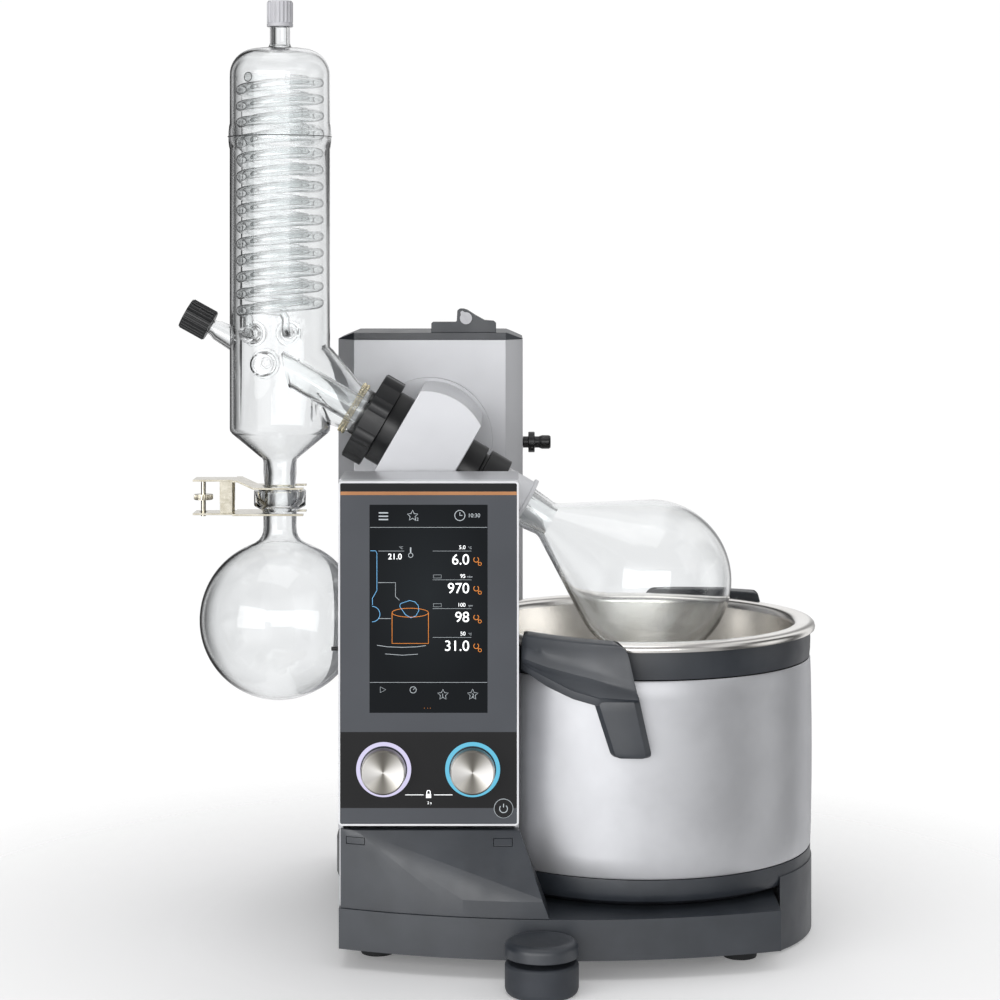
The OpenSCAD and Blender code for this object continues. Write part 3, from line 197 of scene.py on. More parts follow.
# Stainless steel, diamond turned: the bright chamfer of the knobs.
brightSteel = metalFinish("stainlessSteelDiamondCut", "#C6C6C8", "#D2D2D4", 0.02, {
    "Metallic": 1.0, "Roughness": 0.12})
# Spring steel, nickel plated: warm bright metal.
nickelSteel = metalFinish("springSteelNickelPlated", "#BDB7A6", "#D6D1C2", 0.006, {
    "Metallic": 1.0, "Roughness": 0.2}, (0.0012, 0.00002))
# Spring wire with a gold-tinted chromate: a pale brass shine.
springWire = metalFinish("springSteelWireYellowed", "#D6CBAA", "#EAE2C8", 0.005, {
    "Metallic": 1.0, "Roughness": 0.22})
# Machined and ground steel inside the column: plain mid grey with a blurred shine.
groundSteel = metalFinish("steelGround", "#A3A5A8", "#B6B8BB", 0.02, {"Metallic": 1.0, "Roughness": 0.28})
# Bath jacket: rolled stainless sheet, bead-blasted, so it shades broadly from white to grey.
blastedSheet = metalFinish("stainlessSheetBlasted", "#CACBCE", "#D3D4D7", 0.04, {
    "Metallic": 0.6, "Roughness": 0.42}, (0.0006, 0.00001))
# Enamelled copper of the heater: reddish brown, half bright.
copperWound = metalFinish("copperEnamelled", "#A45F35", "#B97646", 0.01, {"Metallic": 1.0, "Roughness": 0.32})

# Borosilicate glass, blown and drawn: clear with a faint cool tint and bright highlights.
clearGlass = newMaterial("borosilicateGlassBlown", {
    "Transmission Weight": 1.0, "IOR": 1.47, "Roughness": 0.0, "Base Color": linear("#FEFFFF")})[0]
# The same glass, ground: white and translucent.
groundGlass, tree, shader = newMaterial("borosilicateGlassGround", {
    "Transmission Weight": 0.6, "IOR": 1.47, "Roughness": 0.45, "Base Color": linear("#F2F5F5")})
grainBump(tree, shader, 0.0005, 0.00004)
# Display glass over a lit panel: near black with a faint glow towards its middle.
displayGlass, tree, shader = newMaterial("displayCoverGlass", {
    "IOR": 1.52, "Roughness": 0.08, "Specular IOR Level": 0.12, "Base Color": linear("#0A0B0D"),
    "Emission Strength": 0.5})
coords = addNode(tree, "ShaderNodeTexCoord")
displayLow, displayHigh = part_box("touch_display")
displayMiddle = (displayLow + displayHigh) / 2
displayGlow = {"across": 0.05, "upward": 0.075, "raised": 0.15}  # its reach in metres, and its rise in reaches
glowPlace = addNode(tree, "ShaderNodeMapping", {
    "Location": (-displayMiddle.x / displayGlow["across"], 0,
                 -displayMiddle.z / displayGlow["upward"] - displayGlow["raised"]),
    "Scale": (1 / displayGlow["across"], 0.001, 1 / displayGlow["upward"])}, {"Vector": coords.outputs["Object"]})
glow = addNode(tree, "ShaderNodeTexGradient", {"gradient_type": "SPHERICAL"}, {"Vector": glowPlace.outputs["Vector"]})
glowRamp = addNode(tree, "ShaderNodeValToRGB", links={"Fac": glow.outputs["Fac"]})
setStops(glowRamp, [(0.0, linear("#14191D")), (1.0, linear("#2C3236"))])
tree.links.new(glowRamp.outputs["Color"], shader.inputs["Emission Color"])


def litMark(name, tone, strength):
    return newMaterial(name, {"Base Color": linear(tone), "Emission Color": linear(tone),
                              "Emission Strength": strength, "Roughness": 0.4})[0]


markTones = {  # back-lit marks of the display and prints on the panel
    "white": litMark("displayWhite", "#F4F6F7", 0.9),
    "grey": litMark("displayGrey", "#9AA0A4", 0.7),
    "orange": litMark("displayOrange", "#C0701F", 0.8),
    "blue": litMark("displayBlue", "#5F9FCC", 0.8),
}

# Diffuse light guides round the knobs: lilac white on the left one, cyan on the right one.
lightGuide, tree, shader = newMaterial("acrylicLightGuide", {
    "Roughness": 0.35, "Emission Strength": 0.95, "Base Color": linear("#202228")})
coords = addNode(tree, "ShaderNodeTexCoord")
split = addNode(tree, "ShaderNodeSeparateXYZ", links={"Vector": coords.outputs["Object"]})
ringLow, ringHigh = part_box("light_rings")
onRight = addNode(tree, "ShaderNodeMath", {"operation": "GREATER_THAN", 1: (ringLow.x + ringHigh.x) / 2},
                  {0: split.outputs["X"]})
ringRamp = addNode(tree, "ShaderNodeValToRGB", links={"Fac": onRight.outputs["Value"]})
setStops(ringRamp, [(0.0, linear("#DCD6F6")), (1.0, linear("#62C4E4"))])
tree.links.new(ringRamp.outputs["Color"], shader.inputs["Emission Color"])
print("materials made")

finishes = {
    slatePlastic: ["base_platform", "foot_bracket", "foot_handwheel", "wedge_cover", "release_button_left",
                   "release_button_right", "bath_base", "bath_handles", "tower_cap", "stop_block", "motor_pulley",
                   "lift_pulley", "main_switch", "power_inlet"],
    blackRubber: ["rubber_feet", "lift_belt", "drive_belt"],
    slateRubber: ["foot_pad"],
    blackNylon: ["tilt_lock_knob", "housing_collars", "lock_ring", "union_nut", "feed_cap", "port_cover"],
    greyCapPlastic: ["top_cap", "stop_dial"],
    silverPaint: ["console_housing", "tower_shell", "pivot_disc", "drive_housing", "lift_carriage"],
    whitePlastic: ["panel_bezel", "flask_clamp"],
    panelFoil: ["panel_face"],
    displayGlass: ["touch_display"],
    lightGuide: ["light_rings"],
    turnedSteelPaintedFan: ["knob_left", "knob_right"],
    blackFoil: ["power_button"],
    polishedSteel: ["bath_vessel"],
    nickelSteel: ["clip_upper_jaw", "clip_lower_jaw", "clip_screw"],
    springWire: ["spring_ring"],
    groundSteel: ["lift_mast", "guide_rods", "lift_motor", "lead_screw", "tilt_bearing", "rotor_bearings",
                  "drive_motor", "hollow_shaft"],
    blastedSheet: ["bath_shell"],
    copperWound: ["bath_heater"],
    clearGlass: ["condenser_jacket", "cooling_coils", "vapour_tube", "evaporating_flask", "receiving_flask",
                 "hose_fittings"],
}
for material, names in finishes.items():
    for name in names:
        slots = nodes[name].data.materials
        slots.clear()
        slots.append(material)
missing = sorted(set(nodes) - {n for names in finishes.values() for n in names})
print("finishes set, without:", missing)

# the rotor's axis and the condenser's axis, which the glassware is placed by
rotorTilt = math.radians(30)
pivot = Vector((-57, 0, 386.8)) * mm
rotorPlace = Matrix.Translation(pivot) @ Matrix.Rotation(math.pi / 2 + rotorTilt, 4, "Y")
condenserX = -177 * mm
condenserPlace = Matrix.Translation((condenserX, 0, 0))


def meshOf(name, bm):
    mesh = bpy.data.meshes.new(name)
    bm.to_mesh(mesh)
    bm.free()
    return mesh


def keepMesh(name, mesh, material, body, stands=(), slotName=None, angle=35):
    piece = bpy.data.objects.new(name, mesh)
    scene.collection.objects.link(piece)
    mesh.materials.clear()
    mesh.materials.append(material)
    mesh.shade_smooth()
    mesh.set_sharp_from_angle(angle=math.radians(angle))
    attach(piece, body)
    if stands:
        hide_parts(*stands)
    return piece


def keepPiece(name, bm, *details, **more):
    return keepMesh(name, meshOf(name, bm), *details, **more)


# A piece that stands for a CAD node rides on its body and hides the node.
def standIn(name, nodeName, bm, material, angle=40, second=None, slotName=None):
    piece = keepPiece(name, bm, material, bodyOf[nodeName], [nodeName], slotName or slotOf[nodeName], angle)
    if second:
        piece.data.materials.append(second)
    return piece


# A full turn of a profile of (radius, height) points in mm round the Z axis.
def lathe(profile, steps=96, closed=True):
    bm = bmesh.new()
    verts = [bm.verts.new((r * mm, 0, z * mm)) for r, z in profile]
    pairs = list(zip(verts, verts[1:]))
    if closed:
        pairs.append((verts[-1], verts[0]))
    edges = [bm.edges.new(pair) for pair in pairs]
    bmesh.ops.spin(bm, geom=verts + edges, cent=(0, 0, 0), axis=(0, 0, 1), angle=2 * math.pi,
                   steps=steps, use_merge=True)
    bmesh.ops.remove_doubles(bm, verts=bm.verts, dist=1e-6)
    bmesh.ops.recalc_face_normals(bm, faces=bm.faces)
    return bm


def arc(cx, cz, r, start, end, count):
    angles = [math.radians(start + (end - start) * i / count) for i in range(count + 1)]
    return [(cx + r * math.cos(a), cz + r * math.sin(a)) for a in angles]


def placed(bm, place):
    bmesh.ops.transform(bm, matrix=place, verts=bm.verts)
    return bm


def rod(radius, low, high, place, steps=64):
    return placed(lathe([(0, low), (radius, low), (radius, high), (0, high)], steps, False), place)


# A smooth copy of a CAD node: its flats joined again and its hard edges eased as a mould leaves them.
def finishedCopy(nodeName, edge, segments=2, sharp=32, flat=0.5):
    bm = bmesh.new()
    bm.from_mesh(nodes[nodeName].data)
    bmesh.ops.remove_doubles(bm, verts=bm.verts, dist=2e-6)
    bmesh.ops.dissolve_limit(bm, angle_limit=math.radians(flat), verts=bm.verts, edges=bm.edges)
    hard = [e for e in bm.edges if len(e.link_faces) == 2 and e.calc_face_angle(0) > math.radians(sharp)]
    bmesh.ops.bevel(bm, geom=hard, offset=edge * mm, offset_type="OFFSET", segments=segments, profile=0.5,
                    affect="EDGES", clamp_overlap=True, material=-1)
    piece = standIn(nodeName + "_finished", nodeName, bm, nodes[nodeName].data.materials[0], sharp)
    normals = piece.modifiers.new("evenNormals", "WEIGHTED_NORMAL")
    normals.keep_sharp = True


# Joins and hollows glass forms, as the glassblower does.
def blown(base, steps):
    group = bpy.data.collections.new("glassForms")
    scene.collection.children.link(group)
    forms = []

    def form(bm, home):
        shape = bpy.data.objects.new("glassForm", meshOf("glassForm", bm))
        home.objects.link(shape)
        forms.append(shape)
        return shape

    body = form(base, group)
    homes = []
    for operation, shapes in steps:
        home = bpy.data.collections.new("glassForms")
        scene.collection.children.link(home)
        homes.append(home)
        for shape in shapes:
            form(shape, home)
        step = body.modifiers.new(operation, "BOOLEAN")
        step.operation = operation
        step.operand_type = "COLLECTION"
        step.collection = home
        step.solver = "EXACT"
    bpy.context.view_layer.update()
    mesh = bpy.data.meshes.new_from_object(body.evaluated_get(bpy.context.evaluated_depsgraph_get()))
    for shape in forms:
        bpy.data.objects.remove(shape)
    for home in [group, *homes]:
        bpy.data.collections.remove(home)
    bm = bmesh.new()
    bm.from_mesh(mesh)
    bmesh.ops.remove_doubles(bm, verts=bm.verts, dist=2e-6)
    return bm


# Faces whose middle, in mm, passes a test are ground or polished and take the piece's second material.
def ground(bm, test):
    for face in bm.faces:
        face.material_index = 1 if test(face.calc_center_median() / mm) else 0
    return bm


# Round wires along lines of points, which flat can press and place.
def wireMesh(lines, wire, sides=1, flat=None):
    curve = bpy.data.curves.new("wireLines", "CURVE")
    curve.dimensions = "3D"
    curve.bevel_depth = wire / 2
    curve.bevel_resolution = sides
    curve.use_fill_caps = True
    for points, cyclic in lines:
        spline = curve.splines.new("POLY")
        spline.points.add(len(points) - 1)
        for spot, place in zip(spline.points, points):
            spot.co = (*place, 1)
        spline.use_cyclic_u = cyclic
    helper = bpy.data.objects.new("wireLines", curve)
    mesh = bpy.data.meshes.new_from_object(helper)
    bpy.data.objects.remove(helper)
    if flat:
        mesh.transform(flat)
    return mesh


def joinMeshes(meshes):
    bm = bmesh.new()
    for mesh in meshes:
        bm.from_mesh(mesh)
    return bm


# control panel: foil bands, icons and numbers
faceLow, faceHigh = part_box("panel_face")
displayX, displayTop, displayFront = displayLow.x, displayHigh.z, displayLow.y
# sizes in mm; the header and the accent line run from and to these depths below the face's top
panelPrint = {"thickness": 0.12, "sideMargin": 0.05, "header": (0.3, 6.2), "accent": (6.3, 8.9), "bandTop": 182.3,
              "bandBottom": 124.2, "ringRoom": 0.1, "powerRing": (6.2, 7.4), "powerRise": 0.3,
              "letterDepth": 0.04, "boldOver": 4, "boldBy": 0.02, "capShare": 0.7, "starInner": 0.48}
faceX = (faceLow.x / mm + panelPrint["sideMargin"], faceHigh.x / mm - panelPrint["sideMargin"])
upright = Matrix.Rotation(math.pi / 2, 4, "X")


def foilStrip(name, depths, material):
    bm = bmesh.new()
    bmesh.ops.create_cube(bm, size=1)
    top, bottom = (faceHigh.z / mm - depth for depth in depths)
    size = Vector((faceX[1] - faceX[0], panelPrint["thickness"], top - bottom)) * mm
    middle = Vector(((faceX[0] + faceX[1]) / 2, faceLow.y / mm, (top + bottom) / 2)) * mm
    placed(bm, Matrix.Translation(middle) @ Matrix.Diagonal((*size, 1)))
    keepPiece(name, bm, material, "control_panel", slotName="panel_slate")


foilStrip("header_band", panelPrint["header"], blackFoil)
foilStrip("accent_line", panelPrint["accent"], orangeFoil)

# black lower band, cut out round the two light rings, with an outline round the power button
powerLow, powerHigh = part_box("power_button")
powerMiddle = (powerLow + powerHigh) / 2
ringRadius = (ringHigh.z - ringLow.z) / 2
bm = bmesh.new()
bmesh.ops.create_grid(bm, x_segments=1, y_segments=1, size=0.5)
bandSize = Vector((faceX[1] - faceX[0], panelPrint["bandTop"] - panelPrint["bandBottom"])) * mm
bandMiddle = Vector(((faceX[0] + faceX[1]) / 2, (panelPrint["bandTop"] + panelPrint["bandBottom"]) / 2)) * mm
placed(bm, Matrix.Translation((*bandMiddle, 0)) @ Matrix.Diagonal((*bandSize, 1, 1)))
bmesh.ops.delete(bm, geom=bm.faces, context="FACES_ONLY")
for x in (ringLow.x + ringRadius, ringHigh.x - ringRadius):
    bmesh.ops.create_circle(bm, segments=64, radius=ringRadius + panelPrint["ringRoom"] * mm,
                            matrix=Matrix.Translation((x, ringLow.z + ringRadius, 0)))
bmesh.ops.triangle_fill(bm, use_beauty=True, edges=bm.edges)
bmesh.ops.recalc_face_normals(bm, faces=bm.faces)
band = bmesh.ops.extrude_face_region(bm, geom=bm.faces[:])
bmesh.ops.translate(bm, vec=(0, 0, panelPrint["thickness"] / 2 * mm),
                    verts=[v for v in band["geom"] if isinstance(v, bmesh.types.BMVert)])
placed(bm, Matrix.Translation((0, faceLow.y, 0)) @ upright)
bmesh.ops.recalc_face_normals(bm, faces=bm.faces)
keepPiece("lower_band", bm, blackFoil, "control_panel", slotName="panel_slate")
ringIn, ringOut = panelPrint["powerRing"]
bm = lathe([(ringIn, 0), (ringOut, 0), (ringOut, panelPrint["powerRise"]), (ringIn, panelPrint["powerRise"])], 64)
placed(bm, Matrix.Translation((powerMiddle.x, faceLow.y, powerMiddle.z)) @ upright)
keepPiece("power_outline", bm, markTones["grey"], "control_panel", slotName="panel_white")

markLines = {tone: [] for tone in markTones}
markTexts = {tone: [] for tone in markTones}


def onDisplay(right, down):
    return Vector((displayX + right * mm, 0, displayTop - down * mm))


def line(tone, points, width=0.35, cyclic=False):
    markLines[tone].append(([onDisplay(*p) for p in points], cyclic, width))


def words(tone, text, right, down, capHeight):
    markTexts[tone].append((text, onDisplay(right, down), capHeight))


def ring(tone, centre, radius, width=0.4, start=0, end=360, steps=28):
    whole = end - start >= 360
    angles = [math.radians(start + (end - start) * i / (steps if whole else steps - 1)) for i in range(steps)]
    line(tone, [(centre[0] + radius * math.sin(a), centre[1] - radius * math.cos(a)) for a in angles], width, whole)


def star(tone, centre, radius, width=0.4):
    points = []
    for i in range(10):
        reach = radius if i % 2 == 0 else radius * panelPrint["starInner"]
        points.append((centre[0] + reach * math.sin(math.pi * i / 5), centre[1] - reach * math.cos(math.pi * i / 5)))
    line(tone, points, width, True)


# Makes one piece of all the marks of a tone that wait, and empties their lists.
def printMarks(name, tone, front, slotName):
    lines, texts = markLines[tone], markTexts[tone]
    flatten = Matrix.Translation((0, front, 0)) @ Matrix.Diagonal((1, 0.3, 1, 1))
    meshes = [wireMesh([(points, cyclic) for points, cyclic, w in lines if w == width], width * mm, 1, flatten)
              for width in sorted({w for points, cyclic, w in lines})]
    for text, place, capHeight in texts:
        letters = bpy.data.curves.new("letters", "FONT")
        letters.body = text
        letters.size = capHeight * mm / panelPrint["capShare"]
        letters.extrude = panelPrint["letterDepth"] * mm
        letters.offset = panelPrint["boldBy"] * mm if capHeight > panelPrint["boldOver"] else 0.0
        letters.align_x = "RIGHT"
        helper = bpy.data.objects.new("letters", letters)
        mesh = bpy.data.meshes.new_from_object(helper)
        bpy.data.objects.remove(helper)
        mesh.transform(Matrix.Translation((place.x, front - panelPrint["letterDepth"] * mm, place.z)) @ upright)
        meshes.append(mesh)
    keepPiece(name, joinMeshes(meshes), markTones[tone], "control_panel", slotName=slotName)
    markLines[tone], markTexts[tone] = [], []


for down in (6.2, 8.8, 11.3):
    line("grey", [(7.0, down), (14.2, down)], 1.1)
star("grey", (32.9, 8.4), 4.2, 0.6)
words("grey", "12", 37.5, 12.2, 2.4)
ring("grey", (69.0, 8.2), 3.9, 0.6)
line("grey", [(69.0, 5.8), (69.0, 8.2), (70.9, 8.2)], 0.6)
words("grey", "10:30", 84.6, 9.6, 3.0)
line("grey", [(0.3, 17.3), (89.9, 17.3)], 0.3)
line("grey", [(6.7, 35.4), (26.4, 35.4)], 0.3)
words("white", "21.0", 24.8, 41.7, 4.4)
words("grey", "°C", 25.6, 33.8, 1.9)
ring("grey", (31.4, 38.6), 1.7, 0.5)
line("grey", [(31.4, 36.6), (31.4, 32.6)], 1.0)
readings = [("5.0", "°C", "6.0"), ("95", "mbar", "970"), ("100", "rpm", "98"), ("50", "°C", "31.0")]
for row, (target, unit, value) in enumerate(readings):
    top = 22.0 * row
    words("white", target, 73.4, 33.9 + top, 2.9)
    unitRight, unitHeight = (78.2, 1.7) if unit == "°C" else (78.9, 1.5)
    words("grey", unit, unitRight, 33.7 + top, unitHeight)
    line("grey", [(48.2, 35.4 + top), (77.8, 35.4 + top)], 0.25)
    words("white", value, 76.4, 45.6 + top, 7.9)
    ring("orange", (81.5, 42.0 + top), 1.9, 0.55, 30, 330)
    ring("orange", (84.3, 45.2 + top), 1.2, 0.5)
    line("orange", [(82.6, 43.4 + top), (83.4, 44.3 + top)], 0.5)
for top in (22.0, 44.0):
    line("grey", [(48.8, 31.6 + top), (54.8, 31.6 + top), (54.8, 34.0 + top), (48.8, 34.0 + top)], 0.3, True)
# a small sketch of a flask in its bath, in light lines
line("orange", [(17.2, 82.5), (17.2, 106), (45.0, 106), (45.0, 82.5)], 0.5)
line("orange", [(31.1 + 13.9 * math.cos(math.radians(a)), 82.5 + 3.4 * math.sin(math.radians(a)))
                for a in range(0, 360, 12)], 0.45, True)
line("blue", [(23.6, 75.6), (23.0, 77.6), (27.4, 84.0), (31.5, 86.4), (35.4, 85.0), (37.6, 81.0), (37.2, 77.0),
              (34.6, 74.2), (30.6, 73.2)], 0.45, True)
line("blue", [(0.6, 35.2), (4.6, 35.2), (5.6, 37), (5.6, 65.5), (2.2, 71.5), (2.2, 76.5)], 0.45)
ring("blue", (2.0, 83.6), 5.9, 0.45, 0, 180)
line("grey", [(6.6, 59.5), (19.8, 59.5), (19.8, 70.2), (22.8, 73.0)], 0.4)
line("grey", [(6.6, 87.0), (16.4, 87.0)], 0.4)
line("grey", [(5.6, 107.4), (14, 108.6), (25, 109.0), (36, 108.6), (43, 107.6)], 0.45)
line("grey", [(12, 114.0), (25, 115.0), (37, 114.2)], 0.4)
line("grey", [(0.3, 135.8), (89.9, 135.8)], 0.3)
line("grey", [(8.2, 139.2), (8.2, 143.6), (12.4, 141.4)], 0.4, True)
ring("grey", (33.3, 141.5), 2.4, 0.45)
line("grey", [(33.3, 141.5), (34.6, 140.2)], 0.4)
star("grey", (56.1, 145.2), 4.2, 0.45)
star("grey", (78.8, 145.2), 4.2, 0.45)
words("grey", "1", 56.8, 146.9, 2.6)
words("grey", "2", 79.9, 146.9, 2.6)
for right in (41.9, 44.4, 46.5):
    line("orange", [(right - 0.1, 155.5), (right + 0.1, 155.5)], 0.9)
for tone in markTones:
    printMarks("display_marks_" + tone, tone, displayFront, "display")

# panel prints below the display: the lock line between the knobs and the standby sign
lockX, lockDown = 45.1, 221.7
line("white", [(27.3, lockDown), (41.3, lockDown)], 0.5)
line("white", [(49.2, lockDown), (63.3, lockDown)], 0.5)
for step in range(6):
    line("white", [(lockX - 1.9, lockDown - 0.4 + 0.5 * step), (lockX + 1.9, lockDown - 0.4 + 0.5 * step)], 0.6)
line("white", [(lockX - 1.3, lockDown - 0.8), (lockX - 1.3, lockDown - 2.4), (lockX - 0.7, lockDown - 3.3),
               (lockX + 0.7, lockDown - 3.3), (lockX + 1.3, lockDown - 2.4), (lockX + 1.3, lockDown - 0.8)], 0.6)
words("white", "2 s", lockX + 2.4, lockDown + 7.0, 2.0)
printMarks("panel_marks", "white", faceLow.y - panelPrint["thickness"] / 2 * mm, "panel_white")
standby = {"radius": 3.0, "stroke": (1.0, 3.8), "width": 0.7}
standbyArc = [math.radians(a) for a in range(38, 324, 13)]
standbyLines = [([powerMiddle + Vector((math.sin(a), 0, math.cos(a))) * standby["radius"] * mm
                  for a in standbyArc], False),
                ([powerMiddle + Vector((0, 0, z * mm)) for z in standby["stroke"]], False)]
onButton = Matrix.Translation((0, powerLow.y, 0)) @ Matrix.Diagonal((1, 0.2, 1, 1)) \
    @ Matrix.Translation((0, -powerMiddle.y, 0))
keepMesh("standby_sign", wireMesh(standbyLines, standby["width"] * mm, 1, onButton), markTones["grey"], "power_button",
         slotName="display")
print("panel prints made")

# spring wire ring round the joint of the condenser's arm
spring = {"ringRadius": 21.1, "coilRadius": 1.35, "wire": 0.6, "turns": 54, "pointsPerTurn": 10,
          "at": (-70.0, -67.0)}
loops = []
for at in spring["at"]:
    count = spring["turns"] * spring["pointsPerTurn"]
    points = []
    for i in range(count):
        around = 2 * math.pi * i / count
        coil = around * spring["turns"]
        reach = spring["ringRadius"] + spring["coilRadius"] * math.cos(coil)
        points.append((reach * math.cos(around) * mm, reach * math.sin(around) * mm,
                       (at + spring["coilRadius"] * math.sin(coil)) * mm))
    loops.append((points, True))
keepMesh("coil_spring_ring", wireMesh(loops, spring["wire"] * mm, 1, rotorPlace), springWire, "head",
         ["spring_ring"], "spring_wire", 80)

# condenser jacket with its side arm, feed neck, rear ports, vapour duct and ball joint
glass = {"wall": 2.2, "jacket": 41.0, "shoulder": 694.0, "dome": 21.5, "ball": 354.0, "ballRadius": 17.5,
         "feedHeight": 456.5, "feedTilt": 61, "bulb": 65.5, "evaporatingMiddle": 213.0, "receivingMiddle": 248.0}
hosePorts = {"ports": ((-28, 482, 8.8), (3, 482, 8.8), (-18, 456, 10.7)), "end": 58.0, "wall": 2.0}
ductMouth = {"place": (-0.1441, 0, 0.3198), "facing": (0.978, 0, 0.208)}
ballZ, domeX = glass["ball"], glass["jacket"] - glass["dome"]
feedPlace = Matrix.Translation((condenserX, 0, glass["feedHeight"] * mm)) \
    @ Matrix.Rotation(math.radians(-glass["feedTilt"]), 4, "Y")
outside = [(0, ballZ - 11.5), (11.3, ballZ - 11.5), (13.5, ballZ + 14), (13.5, 377), (14.2, 379.4), (16.5, 381.2),
           (39.4, 400.6), (40.7, 402.6), (41, 405), (41, 633), (41.5, 635), (42, 639), (42.1, 643.2), (42, 647),
           (41.5, 652), (41, 654)]
outside += arc(domeX, glass["shoulder"], glass["dome"], 0, 80, 14)
outside += [(11.2, 715.9), (9.2, 717.2), (8.2, 720), (8.2, 748.5), (0, 748.5)]
inside = [(0, ballZ - 14), (10.3, ballZ - 14), (10.3, ballZ + 14), (11.3, 378), (12, 380.4), (14.4, 382.4),
          (37.4, 401.9), (38.5, 403.4), (38.8, 405.4)]
inside += arc(domeX, glass["shoulder"], glass["dome"] - glass["wall"], 0, 80, 14)
inside += [(9.6, 713.6), (7, 715), (6, 718), (6, 768), (0, 768)]
ballJoint = [(0, ballZ - 11.5)] + arc(0, ballZ, glass["ballRadius"], -41.1, 0, 10)
ballJoint += [(13.5, ballZ + 1.6), (0, ballZ + 1.6)]
armOut = [(0, -125), (39, -125), (24.5, -84.6), (21.4, -77), (20, -70.5), (20, -54.7), (28, -54.7), (28, -50.4),
          (0, -50.4)]
armIn = [(0, -126), (36.8, -125), (22.3, -84.6), (19.2, -77), (17.8, -70.5), (17.8, -56), (17.2, -54.7), (0, -54.7)]
portPlaces = [Matrix.Translation((condenserX + x * mm, 0, z * mm)) @ Matrix.Rotation(-math.pi / 2, 4, "X")
              for x, z, radius in hosePorts["ports"]]
added = [placed(lathe(ballJoint, 96, False), condenserPlace), placed(lathe(armOut, 112, False), rotorPlace),
         placed(lathe([(0, 0), (13, 0), (8.2, 58), (6.5, 62), (6.5, 76), (0, 76)], 72, False), feedPlace)]
added += [rod(radius, 0, hosePorts["end"], place) for place, (x, z, radius) in zip(portPlaces, hosePorts["ports"])]
hollow = [placed(lathe(inside, 144, False), condenserPlace), placed(lathe(armIn, 112, False), rotorPlace),
          placed(lathe([(0, 0), (11, 0), (6.2, 57), (4.5, 61), (4.5, 90), (0, 90)], 72, False), feedPlace),
          rod(10, -58, -40, rotorPlace)]
hollow += [rod(radius - hosePorts["wall"], 0, hosePorts["end"] + 4, place)
           for place, (x, z, radius) in zip(portPlaces, hosePorts["ports"])]
bm = blown(placed(lathe(outside, 144, False), condenserPlace), [("UNION", added), ("DIFFERENCE", hollow)])
# the vapour duct is a skin of its own that ends just short of the arm's flange; its mouth lies on a slanted plane
duct = lathe([(12, -142), (12, -54.75), (10, -54.75), (10, -142)], 80)
mouthPlace, mouthFacing = Vector(ductMouth["place"]), Vector(ductMouth["facing"])
ductAxis = rotorPlace.to_3x3() @ Vector((0, 0, 1))
for vert in duct.verts:
    if vert.co.z < -141 * mm:
        vert.co.z += max(mouthFacing.dot(mouthPlace - rotorPlace @ vert.co) / mouthFacing.dot(ductAxis), 0)
bm.from_mesh(meshOf("vapourDuct", placed(duct, rotorPlace)))
ground(bm, lambda c: c.z < ballZ + 1.4 and Vector((c.x - condenserX / mm, c.y)).length > 12)
standIn("condenser_glass", "condenser_jacket", bm, clearGlass, second=groundGlass)

# cooling coils: two glass tubes wound one inside the other, each dropping to its coolant port
coils = {"low": 500.0, "pitch": 13.8, "turns": 14, "wall": 0.8, "stepsPerTurn": 44,
         "tubes": ((-28, 482, 9.0, 31.5), (3, 482, 7.0, 21.0))}
tubeMeshes = []
for portX, portZ, tube, radius in coils["tubes"]:
    turn = math.acos(portX / radius)
    runY = radius * math.sin(turn)
    path = [(portX, 58.2, portZ), (portX, runY + 6, portZ)]
    path += [(portX, runY + 6 - 6 * math.sin(math.radians(a)), portZ + 6 - 6 * math.cos(math.radians(a)))
             for a in (22, 45, 68, 90)]
    path.append((portX, runY, coils["low"] - 5))
    count = coils["turns"] * coils["stepsPerTurn"]
    for i in range(1, count + 1):
        angle = turn + 2 * math.pi * i / coils["stepsPerTurn"]
        path.append((radius * math.cos(angle), radius * math.sin(angle),
                     coils["low"] + coils["pitch"] * i / coils["stepsPerTurn"]))
    path = [(x * mm + condenserX, y * mm, z * mm) for x, y, z in path]
    outer = wireMesh([(path, False)], tube * mm, 4)
    inner = wireMesh([(path, False)], (tube - 2 * coils["wall"]) * mm, 4)
    inner.flip_normals()
    tubeMeshes += [outer, inner]
standIn("coiled_glass_tubes", "cooling_coils", joinMeshes(tubeMeshes), clearGlass, 80)

# evaporating flask: rim, ground joint, cone and bulb
flaskOut = [(14.5, 79.9), (19, 79.9), (19, 83.9), (17, 86), (17, 93), (14.9, 111.9), (15.4, 114), (16.6, 116.8)]
flaskOut += arc(0, glass["evaporatingMiddle"], glass["bulb"], -30, 89.95, 60)
flaskIn = arc(0, glass["evaporatingMiddle"], glass["bulb"] - glass["wall"], 89.95, -30, 60)
flaskIn += [(14.4, 117.4), (13.2, 114.6), (12.3, 111.9)]
bm = lathe(flaskOut + flaskIn, 144)
ground(bm, lambda c: c.z < 112 and Vector((c.x, c.y)).length < 15.4)
standIn("evaporating_glass", "evaporating_flask", placed(bm, rotorPlace), clearGlass, second=groundGlass)

